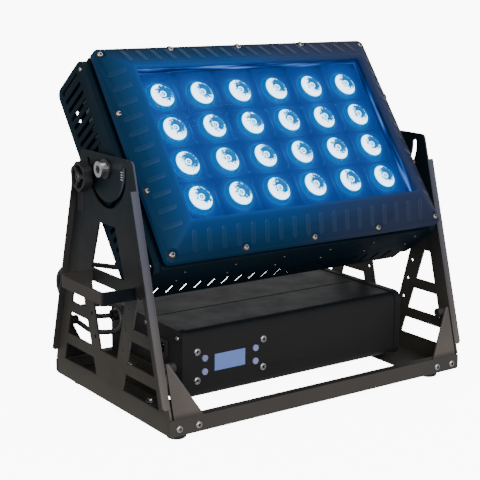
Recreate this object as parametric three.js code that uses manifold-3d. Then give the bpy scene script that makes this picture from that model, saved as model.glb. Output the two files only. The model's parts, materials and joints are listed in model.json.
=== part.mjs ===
// LED wash light: a tilting lamp head on a floor stand with two A-shaped side plates and a
// power and control box between them. Millimetres, +Z up, the beam leaves towards -Y.
// Written in the stand's own axes (X across, Y = 0 half way front to back) and set on the
// middle of its footprint at the end.

import * as THREE from 'three';
import { mergeVertices } from 'three/addons/utils/BufferGeometryUtils.js';
import Module from 'manifold-3d';

const wasm = await Module();
wasm.setup();

// General
const GAP = 0.3;                 // between pieces that touch
const SHEET = 2.5;               // folded steel sheet

// Stand
const BASE_DEPTH = 311;
const BAR_OVERHANG = 1;          // bar ends past the outer faces of the side plates
const BAR_HEIGHT = 22;
const BAR_LEG = 12;              // folded legs of the bars
const FOOT_HEIGHT = 8;
const FOOT_RADIUS = 13.5;
const FOOT_INSETS = {            // each foot's axis from the base's end and from its edge
  front_left: [21, 18],
  front_right: [43, 18],
  rear_left: [21, 43],
  rear_right: [43, 43],
};
const LEDGE_WIDTH = 68;          // inward floor flange of a side plate
const HEAD_PLAY = 6;             // between a side cover of the head and its side plate
const PLATE_TOP = 345;
const PLATE_LEAN = 0.28;         // run of the plate's sloping edges per unit of height
const FLANGE = 8.5;              // outward flanges along the sloping edges
const FLANGE_BOTTOM = 44;
const FLANGE_TOP = 309;
const FLANGE_CORNER = 3;
const GUSSET_WIDTH = 44.3;
const GUSSET_HEIGHT = 68;
const GUSSET_TIP = 3.3;
const GUSSET_SPACE = 3;          // between a gusset ear and its side plate
const PLATE_CORNER = 7;

// Windows of a side plate: heights of the three pairs beside the middle, lowest first
const WINDOW_ROWS = [[36, 61], [76.5, 110], [125.5, 172]];
const RAIL = 25.5;               // metal between the plate's edge and the outer windows
const STRUT_START = 23;          // inner side of the outer windows at the floor, and its slope
const STRUT_SLOPE = 0.3187;
const TOP_WINDOW = [187, 253];
const TOP_WINDOW_HALF = [44, 21];
const MIDDLE_WINDOW = [75, 169];
const MIDDLE_WINDOW_HALF = [22.5, 48];
const STRUT_HOLE_RADIUS = 2.6;
const FRONT_STRUT_HOLES = [92, 122.5, 152];
const REAR_STRUT_HOLES = [92, 122.5];
const HOLE_INSET = 9.6;          // from the middle window's side towards the strut

// Tilt axis and its arc slot
const PIVOT_Z = 327;
const TILT = 37;                 // beam elevation at rest, degrees
const BOLT_RADIUS = 6;
const BOLT_HEAD_RADIUS = 10.5;
const BOLT_HEAD_LENGTH = 9;
const BOLT_SOCKET = 5.8;         // hexagon in the head, over its corners, and its depth
const BOLT_SOCKET_DEPTH = 5;
const WASHER_RADIUS = 13;
const WASHER = 2.5;
const RUNNING = 0.5;             // clearance of the turning bolt in its plate
const ARC_RADIUS = 48;
const ARC_WIDTH = 8.6;
const STUD_CLEARANCE = 0.5;
const ARC_FRONT = 5;             // slot ends, degrees above the level of the axis
const ARC_REAR = 6;
const STUD_BELOW = 19;           // rest place of the lock stud, degrees below level at the rear
const KNOB_RADIUS = 20.5;
const KNOB_LENGTH = 17;
const KNOB_COLLAR = 5;
const KNOB_LOBES = 6;
const KNOB_POCKET = 15.5;        // recess in the knob's face, between its hub and its rim
const KNOB_HUB = 7.5;
const KNOB_SPOKE = 5;
const KNOB_POCKET_DEPTH = 6;
const BLOCK_FRONT = 15;          // pivot block, ahead of the axis and behind the lock stud
const BLOCK_BACK = 13;
const BLOCK_HEIGHT = 60;
const BOSS_RADIUS = 14;

// Carry handle, a strap welded to the left plate
const HANDLE_REACH = 49;
const HANDLE_FRONT = -73;
const HANDLE_REAR = 43;
const HANDLE_BOTTOM = 168;
const HANDLE_HEIGHT = 16;
const HANDLE_STOCK = 3;
const HANDLE_FRONT_BEND = 0.5;
const HANDLE_REAR_BEND = 7;

// Power and control box
const BOX_SPACE = 56.2;          // between an end cap and its side plate
const BOX_CAP = 10;
const BOX_FRONT = -90;
const BOX_DEPTH = 185;
const BOX_BOTTOM = 24;
const BOX_HEIGHT = 94;
const BOX_CORNER = 12;
const BOX_WALL = 3;
const CAP_PROUD = 1.5;
const GROOVE_WIDTH = 3.5;
const GROOVE_DEPTH = 1.8;
const PANEL_INSET = 66.5;        // from the extrusion's left end to the middle of the display
const PANEL_Z = 69;
const DISPLAY_WIDTH = 50.5;
const DISPLAY_HEIGHT = 24;
const BUTTON_RADIUS = 4.5;
const BUTTON_OUT = 1.6;
const BUTTON_DX = 41.3;
const BUTTON_DZ = 9.3;
const BUTTON_LENGTH = 7;
const BOARD = 1.6;
const CONTROL_EDGE = 17;         // control board past the buttons' axes
const MODULE_EDGE = 4;           // display module round its pane
const ELECTRONICS_END = 15;      // from the extrusion's ends, and between the board and the case
const DRIVER_LENGTH = 120;
const DRIVER_HALF = 55;
const CASE_HALF = 52;
const CASE_HEIGHT = 56;
const CASE_WALL = 2;
const CASE_VENTS = 5;
const BRACKET_LEG = 30;
const BRACKET_RISE = 46;
const BRACKET_LENGTH = 110;
const SOCKET_RADIUS = 12;
const SOCKET_Y = -42.5;          // data sockets, one in each end cap
const SOCKET_Z = 87;
const INLET_Y = 45;              // mains inlet, in the right cap
const INLET_Z = 85;

// Lamp head, in its own axes: -Y along the beam, Z up the face, origin on the tilt axis
const BODY_HALF_X = 232;         // shell behind the bezel
const BODY_HALF_Z = 157.5;
const BEZEL_OVER_X = 0.8;        // bezel past the shell
const BEZEL_OVER_Z = -0.25;
const BEZEL_BACK = -29.7;
const BEZEL_EDGE = -37.3;        // where the sloping band starts
const BEZEL_RIM = -62.3;
const BEZEL_WALL = 4;
const BAND_X = 40.3;             // from the bezel's outside to its opening
const BAND_Z = 44.25;
const RIM_FLAT = 4;
const LIP = 6;
const GLASS = 3.5;
const GASKET = 1.6;
const REBATE = 6;                // glass edge held behind the lip
const LENS_COLUMNS = 6;
const LENS_ROWS = 4;
const LENS_MARGIN_X = 7.6;       // left over when the lenses share out the opening
const LENS_MARGIN_Z = 19.6;
const LENS_RADIUS = 20;
const LENS_TOP = -47.2;
const LENS_DOME = 6;
const LENS_STRIP = -36;          // front face of a moulded lens strip
const LENS_STRIP_HALF = 12;
const PLATE_FRONT = -41;         // black plate round the lenses
const PLATE_EDGE = 10;           // of that plate past the glass, along X and Z
const CHIP = 7;
const HEAD_BACK = 78;
const COVER_BACK = 70;
const COLLAR_BACK = -18;
const COLLAR_STEP = 6;
const COVER = 8.2;               // how far a side cover stands out
const COVER_CORNER = 12;
const COVER_SKIN = 2;
const SINK_BASE = 6;
const FIN = 1.8;
const FIN_BACK = 52;
const VENT_PITCH = 22.3;         // slots in the top and bottom, fins lie between them
const VENT_SHIFT = -5;
const VENT_SIDE = 18;            // plain metal at the ends of the rows
const VENT_WIDTH = 5.5;
const VENT_FRONT = 44;
const VENT_BACK = 72;
const REAR_VENT_SHIFT = 12.5;    // slots in the rear wall, beside those in the top and bottom
const REAR_VENT_WIDTH = 17;
const REAR_VENT_HEIGHT = 12;
const CORNER_VENT = [214, 229, 112, 138];
const SIDE_VENT_FIRST = 39.5;
const SIDE_VENT_PITCH = 13.26;
const SIDE_VENT_COUNT = 9;
const SIDE_VENT_WIDTH = 6;
const SIDE_VENT_FRONT = 4;
const SIDE_VENT_BACK = 57;
const BEZEL_SCREWS_X = 113;
const BEZEL_SCREWS_Z = 57;
const SCREW_POCKET = 7;
const POCKET_WALL = 2;
const POCKET_FLOOR = 1.5;        // behind the edge where the sloping band starts

// Link cable
const CABLE_RADIUS = 3.5;
const GLAND_RADIUS = 8;
const GLAND_LENGTH = 20;
const LINK_Y = 60;               // gland on the box's left cap
const LINK_Z = 110;
const HEAD_GLAND_INSET = 13;     // gland on the back of the head, in the head's axes
const HEAD_GLAND_Z = -97;

// Driven sizes
const BASE_TOP = FOOT_HEIGHT + BAR_HEIGHT;
const COVER_X = BODY_HALF_X + GAP + COVER;
const PLATE_IN_X = COVER_X + HEAD_PLAY;
const PLATE_FACE_X = PLATE_IN_X + SHEET;
const BASE_WIDTH = 2 * (PLATE_FACE_X + BAR_OVERHANG);
const BAR_FRONT = BASE_DEPTH / 2;
const LEDGE_TOP = FOOT_HEIGHT + SHEET;
const CAP_END = PLATE_IN_X - BOX_SPACE;
const BOX_HALF = CAP_END - BOX_CAP - GAP;
const BOX_TOP = BOX_BOTTOM + BOX_HEIGHT;
const BOX_MIDDLE = BOX_BOTTOM + BOX_HEIGHT / 2;
const PANEL_X = PANEL_INSET - BOX_HALF;
const BEZEL_WIDTH = 2 * (BODY_HALF_X + BEZEL_OVER_X);
const BEZEL_HEIGHT = 2 * (BODY_HALF_Z + BEZEL_OVER_Z);
const OPENING_WIDTH = BEZEL_WIDTH - 2 * BAND_X;
const OPENING_HEIGHT = BEZEL_HEIGHT - 2 * BAND_Z;
const LENS_PITCH_X = (OPENING_WIDTH - LENS_MARGIN_X) / LENS_COLUMNS;
const LENS_PITCH_Z = (OPENING_HEIGHT - LENS_MARGIN_Z) / LENS_ROWS;
const LENS_BACK = LENS_STRIP + 2.5;
const VENT_COUNT = Math.floor(2 * (BODY_HALF_X - VENT_SIDE) / VENT_PITCH);
const HEAD_GLAND_X = HEAD_GLAND_INSET - BODY_HALF_X;
const STUD_RADIUS = ARC_WIDTH / 2 - STUD_CLEARANCE;
const STUD_SPAN = THREE.MathUtils.degToRad(TILT - STUD_BELOW);
const STUD_Y = ARC_RADIUS * Math.cos(STUD_SPAN);
const STUD_Z = ARC_RADIUS * Math.sin(STUD_SPAN);

const paint = (color, roughness = 0.62, metalness = 0.35) =>
  new THREE.MeshStandardMaterial({ color, roughness, metalness });
const FINISH = {
  frame: paint(0x2b2a29),
  casting: paint(0x26282c, 0.55),
  box: paint(0x222325, 0.5, 0.5),
  steel: paint(0xc9cbd0, 0.25, 1),
  rubber: paint(0x161616, 0.9, 0),
  plastic: paint(0x1b1b1d, 0.7, 0),
  glass: paint(0x2a5f9a, 0.08, 0),
  lens: paint(0xbfefff, 0.1, 0),
  board: paint(0x1d4a2c, 0.6, 0.1),
  aluminium: paint(0xa9adb2, 0.4, 0.9),
  display: paint(0x7390be, 0.2, 0),
  button: paint(0xb9b6d2, 0.5, 0),
};

// Closed geometry to a solid that can be cut and joined, and back
function solid(geometry) {
  const bare = geometry.clone();
  bare.deleteAttribute('normal');
  bare.deleteAttribute('uv');
  const welded = mergeVertices(bare, 1e-4);
  return new wasm.Manifold(new wasm.Mesh({
    numProp: 3,
    vertProperties: new Float32Array(welded.attributes.position.array),
    triVerts: new Uint32Array(welded.index.array),
  }));
}

function geometryOf(body) {
  const mesh = body.getMesh();
  const geometry = new THREE.BufferGeometry();
  geometry.setAttribute('position', new THREE.BufferAttribute(new Float32Array(mesh.vertProperties), 3));
  geometry.setIndex(new THREE.BufferAttribute(new Uint32Array(mesh.triVerts), 1));
  geometry.computeVertexNormals();
  return geometry;
}

const join = (...bodies) => bodies.reduce((all, body) => all.add(body));
const cut = (body, ...tools) => tools.reduce((left, tool) => left.subtract(tool), body);

// Box between two corners
function block(x0, x1, y0, y1, z0, z1) {
  const geometry = new THREE.BoxGeometry(x1 - x0, y1 - y0, z1 - z0);
  geometry.translate((x0 + x1) / 2, (y0 + y1) / 2, (z0 + z1) / 2);
  return solid(geometry);
}

// Cylinder between two places along one axis ('x', 'y' or 'z')
function rod(axis, radius, from, to, a, b, sides = 20) {
  const geometry = new THREE.CylinderGeometry(radius, radius, to - from, sides);
  const middle = (from + to) / 2;
  if (axis === 'x') geometry.rotateZ(-Math.PI / 2).translate(middle, a, b);
  if (axis === 'y') geometry.translate(a, middle, b);
  if (axis === 'z') geometry.rotateX(Math.PI / 2).translate(a, b, middle);
  return solid(geometry);
}

// Shape in (y, z) made into a sheet between two X places
function sheetX(shape, x0, x1, curveSegments = 6) {
  const geometry = new THREE.ExtrudeGeometry(shape, { depth: x1 - x0, bevelEnabled: false, curveSegments });
  const basis = new THREE.Matrix4().makeBasis(
    new THREE.Vector3(0, 1, 0), new THREE.Vector3(0, 0, 1), new THREE.Vector3(1, 0, 0));
  return solid(geometry.applyMatrix4(basis).translate(x0, 0, 0));
}

// Shape in (x, z) made into a sheet between two Y places
function sheetY(shape, y0, y1, curveSegments = 6) {
  const geometry = new THREE.ExtrudeGeometry(shape, { depth: y1 - y0, bevelEnabled: false, curveSegments });
  return solid(geometry.rotateX(Math.PI / 2).translate(0, y1, 0));
}

function polygon(points) {
  return new THREE.Shape(points.map(([x, y]) => new THREE.Vector2(x, y)));
}

function roundedRect(width, height, radius, cx = 0, cy = 0) {
  const shape = new THREE.Shape();
  const [w, h] = [width / 2 - radius, height / 2 - radius];
  shape.absarc(cx + w, cy - h, radius, -Math.PI / 2, 0);
  shape.absarc(cx + w, cy + h, radius, 0, Math.PI / 2);
  shape.absarc(cx - w, cy + h, radius, Math.PI / 2, Math.PI);
  shape.absarc(cx - w, cy - h, radius, Math.PI, 1.5 * Math.PI);
  return shape;
}

// Solid through rounded rectangles in (x, z), each [y, width, height, corner radius]
function loftY(sections, segments = 3) {
  const rings = sections.map(([y, width, height, radius]) =>
    roundedRect(width, height, radius).getPoints(segments)
      .filter((p, i, all) => i === 0 || p.distanceTo(all[i - 1]) > 1e-6)
      .map((p) => [p.x, y, p.y]));
  const count = rings[0].length;
  const triangles = [];
  for (let k = 0; k + 1 < rings.length; k++) {
    for (let i = 0; i < count; i++) {
      const j = (i + 1) % count;
      triangles.push(k * count + i, k * count + j, (k + 1) * count + j);
      triangles.push(k * count + i, (k + 1) * count + j, (k + 1) * count + i);
    }
  }
  const last = (rings.length - 1) * count;
  for (let i = 1; i + 1 < count; i++) {
    triangles.push(0, i + 1, i, last, last + i, last + i + 1);
  }
  const geometry = new THREE.BufferGeometry();
  geometry.setAttribute('position', new THREE.Float32BufferAttribute(rings.flat(2), 3));
  geometry.setIndex(triangles);
  return solid(geometry);
}

const part = new THREE.Group();
const head = new THREE.Group();
head.position.set(0, 0, PIVOT_Z);
head.rotation.x = -THREE.MathUtils.degToRad(TILT);
part.add(head);

function add(name, body, finish, group = part) {
  const mesh = new THREE.Mesh(geometryOf(body), FINISH[finish]);
  mesh.name = name;
  group.add(mesh);
  return mesh;
}

const SIDES = [['left', -1], ['right', 1]];

// Mirrors a body made for the left side (-X) to the right
function onSide(body, side) {
  return side < 0 ? body : body.mirror([1, 0, 0]);
}

// Front or rear bar: a channel whose web faces out, with two leaning gusset ears
function bar() {
  const web = sheetY(roundedRect(BASE_WIDTH, BAR_HEIGHT, 4, 0, FOOT_HEIGHT + BAR_HEIGHT / 2),
    -BAR_FRONT, -BAR_FRONT + SHEET);
  const leg = (end, z) => block(-end, end, -BAR_FRONT + SHEET / 2, -BAR_FRONT + BAR_LEG, z, z + SHEET);
  const legEnd = PLATE_IN_X - GAP;
  const legs = [leg(legEnd - LEDGE_WIDTH, FOOT_HEIGHT), leg(legEnd, BASE_TOP - SHEET)];
  const [low, high] = [BASE_TOP - SHEET, BASE_TOP + GUSSET_HEIGHT];
  const lean = PLATE_LEAN * GUSSET_HEIGHT;
  const earEnd = PLATE_IN_X - GUSSET_SPACE;
  const fold = sheetX(polygon([[-BAR_FRONT, low], [-BAR_FRONT, BASE_TOP],
    [-BAR_FRONT + lean, high], [-BAR_FRONT + lean + SHEET, high],
    [-BAR_FRONT + SHEET, BASE_TOP], [-BAR_FRONT + SHEET, low]]), -earEnd, earEnd);
  const triangle = polygon([[earEnd - GUSSET_WIDTH, low - 1], [earEnd - GUSSET_WIDTH, BASE_TOP],
    [earEnd - GUSSET_TIP, high + 1], [earEnd + 1, high + 1], [earEnd + 1, low - 1]]);
  const ear = fold.intersect(sheetY(triangle, -BAR_FRONT - 1, 0));
  return join(web, ...legs, ear, ear.mirror([1, 0, 0]));
}

// Y of a side plate's sloping edge at a height
const plateEdge = (z) => BAR_FRONT - PLATE_LEAN * (z - BASE_TOP);

// Window with level ends, symmetric to the middle of the plate
function middleWindow([bottom, top], [bottomHalf, topHalf]) {
  return polygon([[-topHalf, top], [topHalf, top], [bottomHalf, bottom], [-bottomHalf, bottom]]);
}

// Window between a strut and the rail at the plate's edge, to the front (-1) or the rear (1)
function sideWindow([bottom, top], end) {
  const strut = (z) => end * (STRUT_START + STRUT_SLOPE * z);
  const rail = (z) => end * (plateEdge(z) - RAIL);
  return polygon([[strut(top), top], [rail(top), top], [rail(bottom), bottom], [strut(bottom), bottom]]);
}

function plateWindows() {
  return [
    middleWindow(TOP_WINDOW, TOP_WINDOW_HALF),
    middleWindow(MIDDLE_WINDOW, MIDDLE_WINDOW_HALF),
    ...WINDOW_ROWS.flatMap((row) => [sideWindow(row, -1), sideWindow(row, 1)]),
  ];
}

// Small holes up the middle of the struts, as [y, z]
function strutHoles() {
  const [bottom, top] = MIDDLE_WINDOW;
  const [bottomHalf, topHalf] = MIDDLE_WINDOW_HALF;
  const slope = (topHalf - bottomHalf) / (top - bottom);
  const place = (z) => bottomHalf + slope * (z - bottom) + HOLE_INSET;
  return [...FRONT_STRUT_HOLES.map((z) => [-place(z), z]), ...REAR_STRUT_HOLES.map((z) => [place(z), z])];
}

// Arc slot round the tilt axis, from the rear end through the bottom to the front end
function arcSlot() {
  const rad = THREE.MathUtils.degToRad;
  const [start, end] = [rad(ARC_REAR), rad(-180 - ARC_FRONT)];
  const shape = new THREE.Shape();
  const r = ARC_WIDTH / 2;
  const tip = (angle) => [ARC_RADIUS * Math.cos(angle), PIVOT_Z + ARC_RADIUS * Math.sin(angle)];
  shape.absarc(0, PIVOT_Z, ARC_RADIUS + r, start, end, true);
  shape.absarc(...tip(end), r, end, end - Math.PI, true);
  shape.absarc(0, PIVOT_Z, ARC_RADIUS - r, end, start, false);
  shape.absarc(...tip(start), r, start + Math.PI, start, true);
  return shape;
}

// Side plate, drawn for the left: A-shaped web, floor ledge and two outward flanges
function sidePlate() {
  const low = BAR_FRONT - SHEET - GAP;
  const step = BASE_TOP + GAP;
  const [top, corner] = [plateEdge(PLATE_TOP), PLATE_TOP - PLATE_CORNER];
  const web = new THREE.Shape();
  web.moveTo(-low, FOOT_HEIGHT).lineTo(low, FOOT_HEIGHT).lineTo(low, step);
  web.lineTo(plateEdge(step), step).lineTo(plateEdge(corner), corner);
  web.quadraticCurveTo(top, PLATE_TOP, top - PLATE_CORNER, PLATE_TOP);
  web.lineTo(-top + PLATE_CORNER, PLATE_TOP);
  web.quadraticCurveTo(-top, PLATE_TOP, -plateEdge(corner), corner);
  web.lineTo(-plateEdge(step), step).lineTo(-low, step);
  const ledge = block(-PLATE_IN_X - SHEET / 2, -PLATE_IN_X + LEDGE_WIDTH, -low, low, FOOT_HEIGHT, LEDGE_TOP);
  const folded = join(sheetX(web, -PLATE_FACE_X, -PLATE_IN_X), plateFlange(-1), plateFlange(1), ledge);
  const through = [-PLATE_FACE_X - 1, -PLATE_IN_X + 1];
  return cut(folded, ...plateWindows().map((shape) => sheetX(shape, ...through)),
    sheetX(arcSlot(), ...through, 24),
    rod('x', BOLT_RADIUS + RUNNING, ...through, 0, PIVOT_Z),
    ...strutHoles().map(([y, z]) => rod('x', STRUT_HOLE_RADIUS, ...through, y, z, 8)));
}

// Outward flange along the front (-1) or rear (1) edge of the left side plate
function plateFlange(end) {
  const [bottom, top] = [FLANGE_BOTTOM, FLANGE_TOP];
  const out = -PLATE_FACE_X - FLANGE;
  const strip = polygon([[end * plateEdge(bottom), bottom], [end * plateEdge(top), top],
    [end * (plateEdge(top) - SHEET), top], [end * (plateEdge(bottom) - SHEET), bottom]]);
  const corner = polygon([[out - 1, bottom - 1], [out - 1, bottom + FLANGE_CORNER + 1],
    [out + FLANGE_CORNER + 1, bottom - 1]]);
  return cut(sheetX(strip, out, -PLATE_IN_X - SHEET / 2), sheetY(corner, -BASE_DEPTH, BASE_DEPTH));
}

function foot() {
  const r = FOOT_RADIUS;
  const profile = [[0, 0], [r - 3, 0], [r - 1, 1], [r, FOOT_HEIGHT - GAP], [0, FOOT_HEIGHT - GAP]];
  const geometry = new THREE.LatheGeometry(profile.map(([x, y]) => new THREE.Vector2(x, y)), 20);
  return solid(geometry.rotateX(Math.PI / 2));
}

function addStand() {
  add('front_bar', bar(), 'frame');
  add('rear_bar', bar().mirror([0, 1, 0]), 'frame');
  for (const [name, side] of SIDES) {
    add(`side_plate_${name}`, onSide(sidePlate(), side), 'frame');
    for (const [end, along] of [['front', -1], ['rear', 1]]) {
      const [across, inward] = FOOT_INSETS[`${end}_${name}`];
      const mesh = add(`foot_${end}_${name}`, foot(), 'rubber');
      mesh.position.set(side * (BASE_WIDTH / 2 - across), along * (BAR_FRONT - inward), 0);
    }
  }
}

// U-shaped strap that meets the plate with its two ends
function carryHandle() {
  const t = HANDLE_STOCK;
  const inner = -PLATE_FACE_X - GAP;
  const outer = -PLATE_FACE_X - HANDLE_REACH;
  const [front, rear] = [HANDLE_FRONT_BEND, HANDLE_REAR_BEND];
  const frontBend = [outer + t + front, HANDLE_FRONT + t + front];
  const rearBend = [outer + t + rear, HANDLE_REAR - t - rear];
  const shape = new THREE.Shape();
  shape.moveTo(inner, HANDLE_FRONT + t).lineTo(frontBend[0], HANDLE_FRONT + t);
  shape.absarc(...frontBend, front, -Math.PI / 2, -Math.PI, true);
  shape.absarc(...rearBend, rear, Math.PI, Math.PI / 2, true);
  shape.lineTo(inner, HANDLE_REAR - t).lineTo(inner, HANDLE_REAR);
  shape.absarc(...rearBend, rear + t, Math.PI / 2, Math.PI, false);
  shape.absarc(...frontBend, front + t, Math.PI, 1.5 * Math.PI, false);
  shape.lineTo(inner, HANDLE_FRONT);
  const geometry = new THREE.ExtrudeGeometry(shape, {
    depth: HANDLE_HEIGHT, bevelEnabled: false, curveSegments: 5 });
  return solid(geometry.translate(0, 0, HANDLE_BOTTOM));
}

const boxOutline = (grow) => roundedRect(BOX_DEPTH + 2 * grow, BOX_HEIGHT + 2 * grow,
  Math.max(BOX_CORNER + grow, 1), BOX_FRONT + BOX_DEPTH / 2, BOX_MIDDLE);

function boxHousing() {
  const [front, back] = [BOX_FRONT - 1, BOX_FRONT + BOX_WALL + 1];
  const buttons = buttonPlaces().map(([x, z]) => rod('y', BUTTON_RADIUS + GAP, front, back, x, z, 16));
  const grooves = [BOX_TOP, BOX_BOTTOM].map((z) => block(-BOX_HALF - 1, BOX_HALF + 1,
    -GROOVE_WIDTH / 2, GROOVE_WIDTH / 2, z - GROOVE_DEPTH, z + GROOVE_DEPTH));
  return cut(sheetX(boxOutline(0), -BOX_HALF, BOX_HALF, 5),
    sheetX(boxOutline(-BOX_WALL), -BOX_HALF - 1, BOX_HALF + 1, 4), ...grooves, ...buttons,
    block(PANEL_X - DISPLAY_WIDTH / 2, PANEL_X + DISPLAY_WIDTH / 2, front, back,
      PANEL_Z - DISPLAY_HEIGHT / 2, PANEL_Z + DISPLAY_HEIGHT / 2));
}

function buttonPlaces() {
  return [[-1, 1], [-1, -1], [1, 1], [1, -1]].map(([i, k]) =>
    [PANEL_X + i * BUTTON_DX, PANEL_Z + k * BUTTON_DZ]);
}

// End cap, drawn for the left, with holes for what it carries as [y, z, radius]
function boxCap(holes) {
  const cap = sheetX(boxOutline(CAP_PROUD), -CAP_END, -BOX_HALF - GAP, 5);
  const back = sheetX(boxOutline(-BOX_WALL), -CAP_END + BOX_WALL, -BOX_HALF, 4);
  return cut(cap, back, ...holes.map(([y, z, r]) =>
    rod('x', r + GAP, -CAP_END - 1, -CAP_END + BOX_CAP, y, z, 16)));
}

// Screw-in cable gland that stands out of a wall at Y = 0 towards +Y, bored for the cable
function gland(wall) {
  const nut = rod('y', GLAND_RADIUS + 1.5, GAP, 6, 0, 0, 6);
  const body = rod('y', GLAND_RADIUS - 1, -wall, GLAND_LENGTH - 6, 0, 0, 16);
  const cap = rod('y', GLAND_RADIUS, GLAND_LENGTH - 10, GLAND_LENGTH, 0, 0, 12);
  const bore = rod('y', CABLE_RADIUS + GAP, GLAND_LENGTH - 8, GLAND_LENGTH + 1, 0, 0, 12);
  return cut(join(nut, body, cap), bore);
}

function addBox() {
  add('psu_housing', boxHousing(), 'box');
  const dataHole = [SOCKET_Y, SOCKET_Z, SOCKET_RADIUS - 2];
  const linkHole = [LINK_Y, LINK_Z, GLAND_RADIUS - 1];
  const powerHole = [INLET_Y, INLET_Z, SOCKET_RADIUS - 1];
  add('psu_end_cap_left', boxCap([dataHole, linkHole]), 'box');
  add('psu_end_cap_right', onSide(boxCap([dataHole, powerHole]), 1), 'box');
  const linkGland = add('psu_gland', gland(BOX_WALL), 'plastic');
  linkGland.position.set(-CAP_END, LINK_Y, LINK_Z);
  linkGland.rotation.z = Math.PI / 2;
  const flange = sheetX(roundedRect(26, 26, 4, SOCKET_Y, SOCKET_Z), -CAP_END - 2.3, -CAP_END - GAP, 3);
  const shell = rod('x', SOCKET_RADIUS - 2, -CAP_END - 1, -CAP_END + 9, SOCKET_Y, SOCKET_Z, 16);
  const mouth = rod('x', SOCKET_RADIUS - 4, -CAP_END - 3, -CAP_END + 6, SOCKET_Y, SOCKET_Z, 16);
  add('data_socket_in', cut(join(flange, shell), mouth), 'plastic');
  add('data_socket_out', onSide(cut(join(flange, shell), mouth), 1), 'plastic');
  const inletFlange = sheetX(roundedRect(32, 30, 4, INLET_Y, INLET_Z), CAP_END + GAP, CAP_END + 2.8, 3);
  const inletShell = rod('x', SOCKET_RADIUS - 1, CAP_END - 9, CAP_END + 5, INLET_Y, INLET_Z, 20);
  const inletMouth = rod('x', SOCKET_RADIUS - 3, CAP_END - 6, CAP_END + 6, INLET_Y, INLET_Z, 20);
  add('power_inlet', cut(join(inletFlange, inletShell), inletMouth), 'plastic');
  for (const [name, side] of SIDES) add(`psu_bracket_${name}`, onSide(bracket(), side), 'frame');
}

function bracket() {
  const [x, bottom] = [-CAP_END - GAP, LEDGE_TOP + GAP];
  const half = BRACKET_LENGTH / 2;
  const foot = block(x - BRACKET_LEG, x, -half, half, bottom, bottom + SHEET);
  return join(foot, block(x - SHEET, x, -half, half, bottom, bottom + BRACKET_RISE));
}

function addElectronics() {
  const wallBack = BOX_FRONT + BOX_WALL + GAP;
  const [w, h] = [DISPLAY_WIDTH / 2, DISPLAY_HEIGHT / 2];
  const pane = block(PANEL_X - w + GAP, PANEL_X + w - GAP, BOX_FRONT + 0.6, wallBack + 1,
    PANEL_Z - h + GAP, PANEL_Z + h - GAP);
  const [mw, mh] = [w + MODULE_EDGE, h + MODULE_EDGE];
  const module = block(PANEL_X - mw, PANEL_X + mw, wallBack, wallBack + 3.5, PANEL_Z - mh, PANEL_Z + mh);
  add('display', join(pane, module), 'display');
  const board = BOX_FRONT + BUTTON_LENGTH - BUTTON_OUT + 1.8;
  const [cw, ch] = [BUTTON_DX + CONTROL_EDGE, BUTTON_DZ + CONTROL_EDGE];
  add('control_board', block(PANEL_X - cw, PANEL_X + cw, board, board + BOARD,
    PANEL_Z - ch, PANEL_Z + ch), 'board');
  buttonPlaces().forEach(([x, z], i) => {
    const start = BOX_FRONT - BUTTON_OUT;
    add(`button_${i + 1}`, rod('y', BUTTON_RADIUS, start, start + BUTTON_LENGTH, x, z, 16), 'button');
  });
  const floor = BOX_BOTTOM + BOX_WALL + GAP;
  const start = ELECTRONICS_END - BOX_HALF;
  add('driver_board', driverBoard(start, start + DRIVER_LENGTH, floor), 'board');
  add('power_supply', supplyCase(start + DRIVER_LENGTH + ELECTRONICS_END, -start, floor), 'aluminium');
}

// Circuit board with three tall parts on it
function driverBoard(x0, x1, floor) {
  const chip = (x, y) => block(x, x + 2 * CHIP, y, y + 2 * CHIP, floor + BOARD - 0.2, floor + 5);
  const step = (x1 - x0) / 4;
  return join(block(x0, x1, -DRIVER_HALF, DRIVER_HALF, floor, floor + BOARD),
    ...[1, 2, 3].map((i) => chip(x0 + (i - 0.5) * step, i === 2 ? CHIP : -3 * CHIP)));
}

// Metal case with a row of vents in its lid and an open underside
function supplyCase(x0, x1, floor) {
  const [half, top] = [CASE_HALF, floor + CASE_HEIGHT];
  const pitch = (x1 - x0) / (CASE_VENTS + 1);
  const vents = Array.from({ length: CASE_VENTS }, (_, i) => x0 + (i + 1) * pitch).map((x) =>
    block(x - 3, x + 3, -0.75 * half, 0.75 * half, top - 3 * CASE_WALL, top + 1));
  const inside = block(x0 + CASE_WALL, x1 - CASE_WALL, CASE_WALL - half, half - CASE_WALL,
    floor - 1, top - CASE_WALL);
  return cut(block(x0, x1, -half, half, floor, top), inside, ...vents);
}

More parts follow.
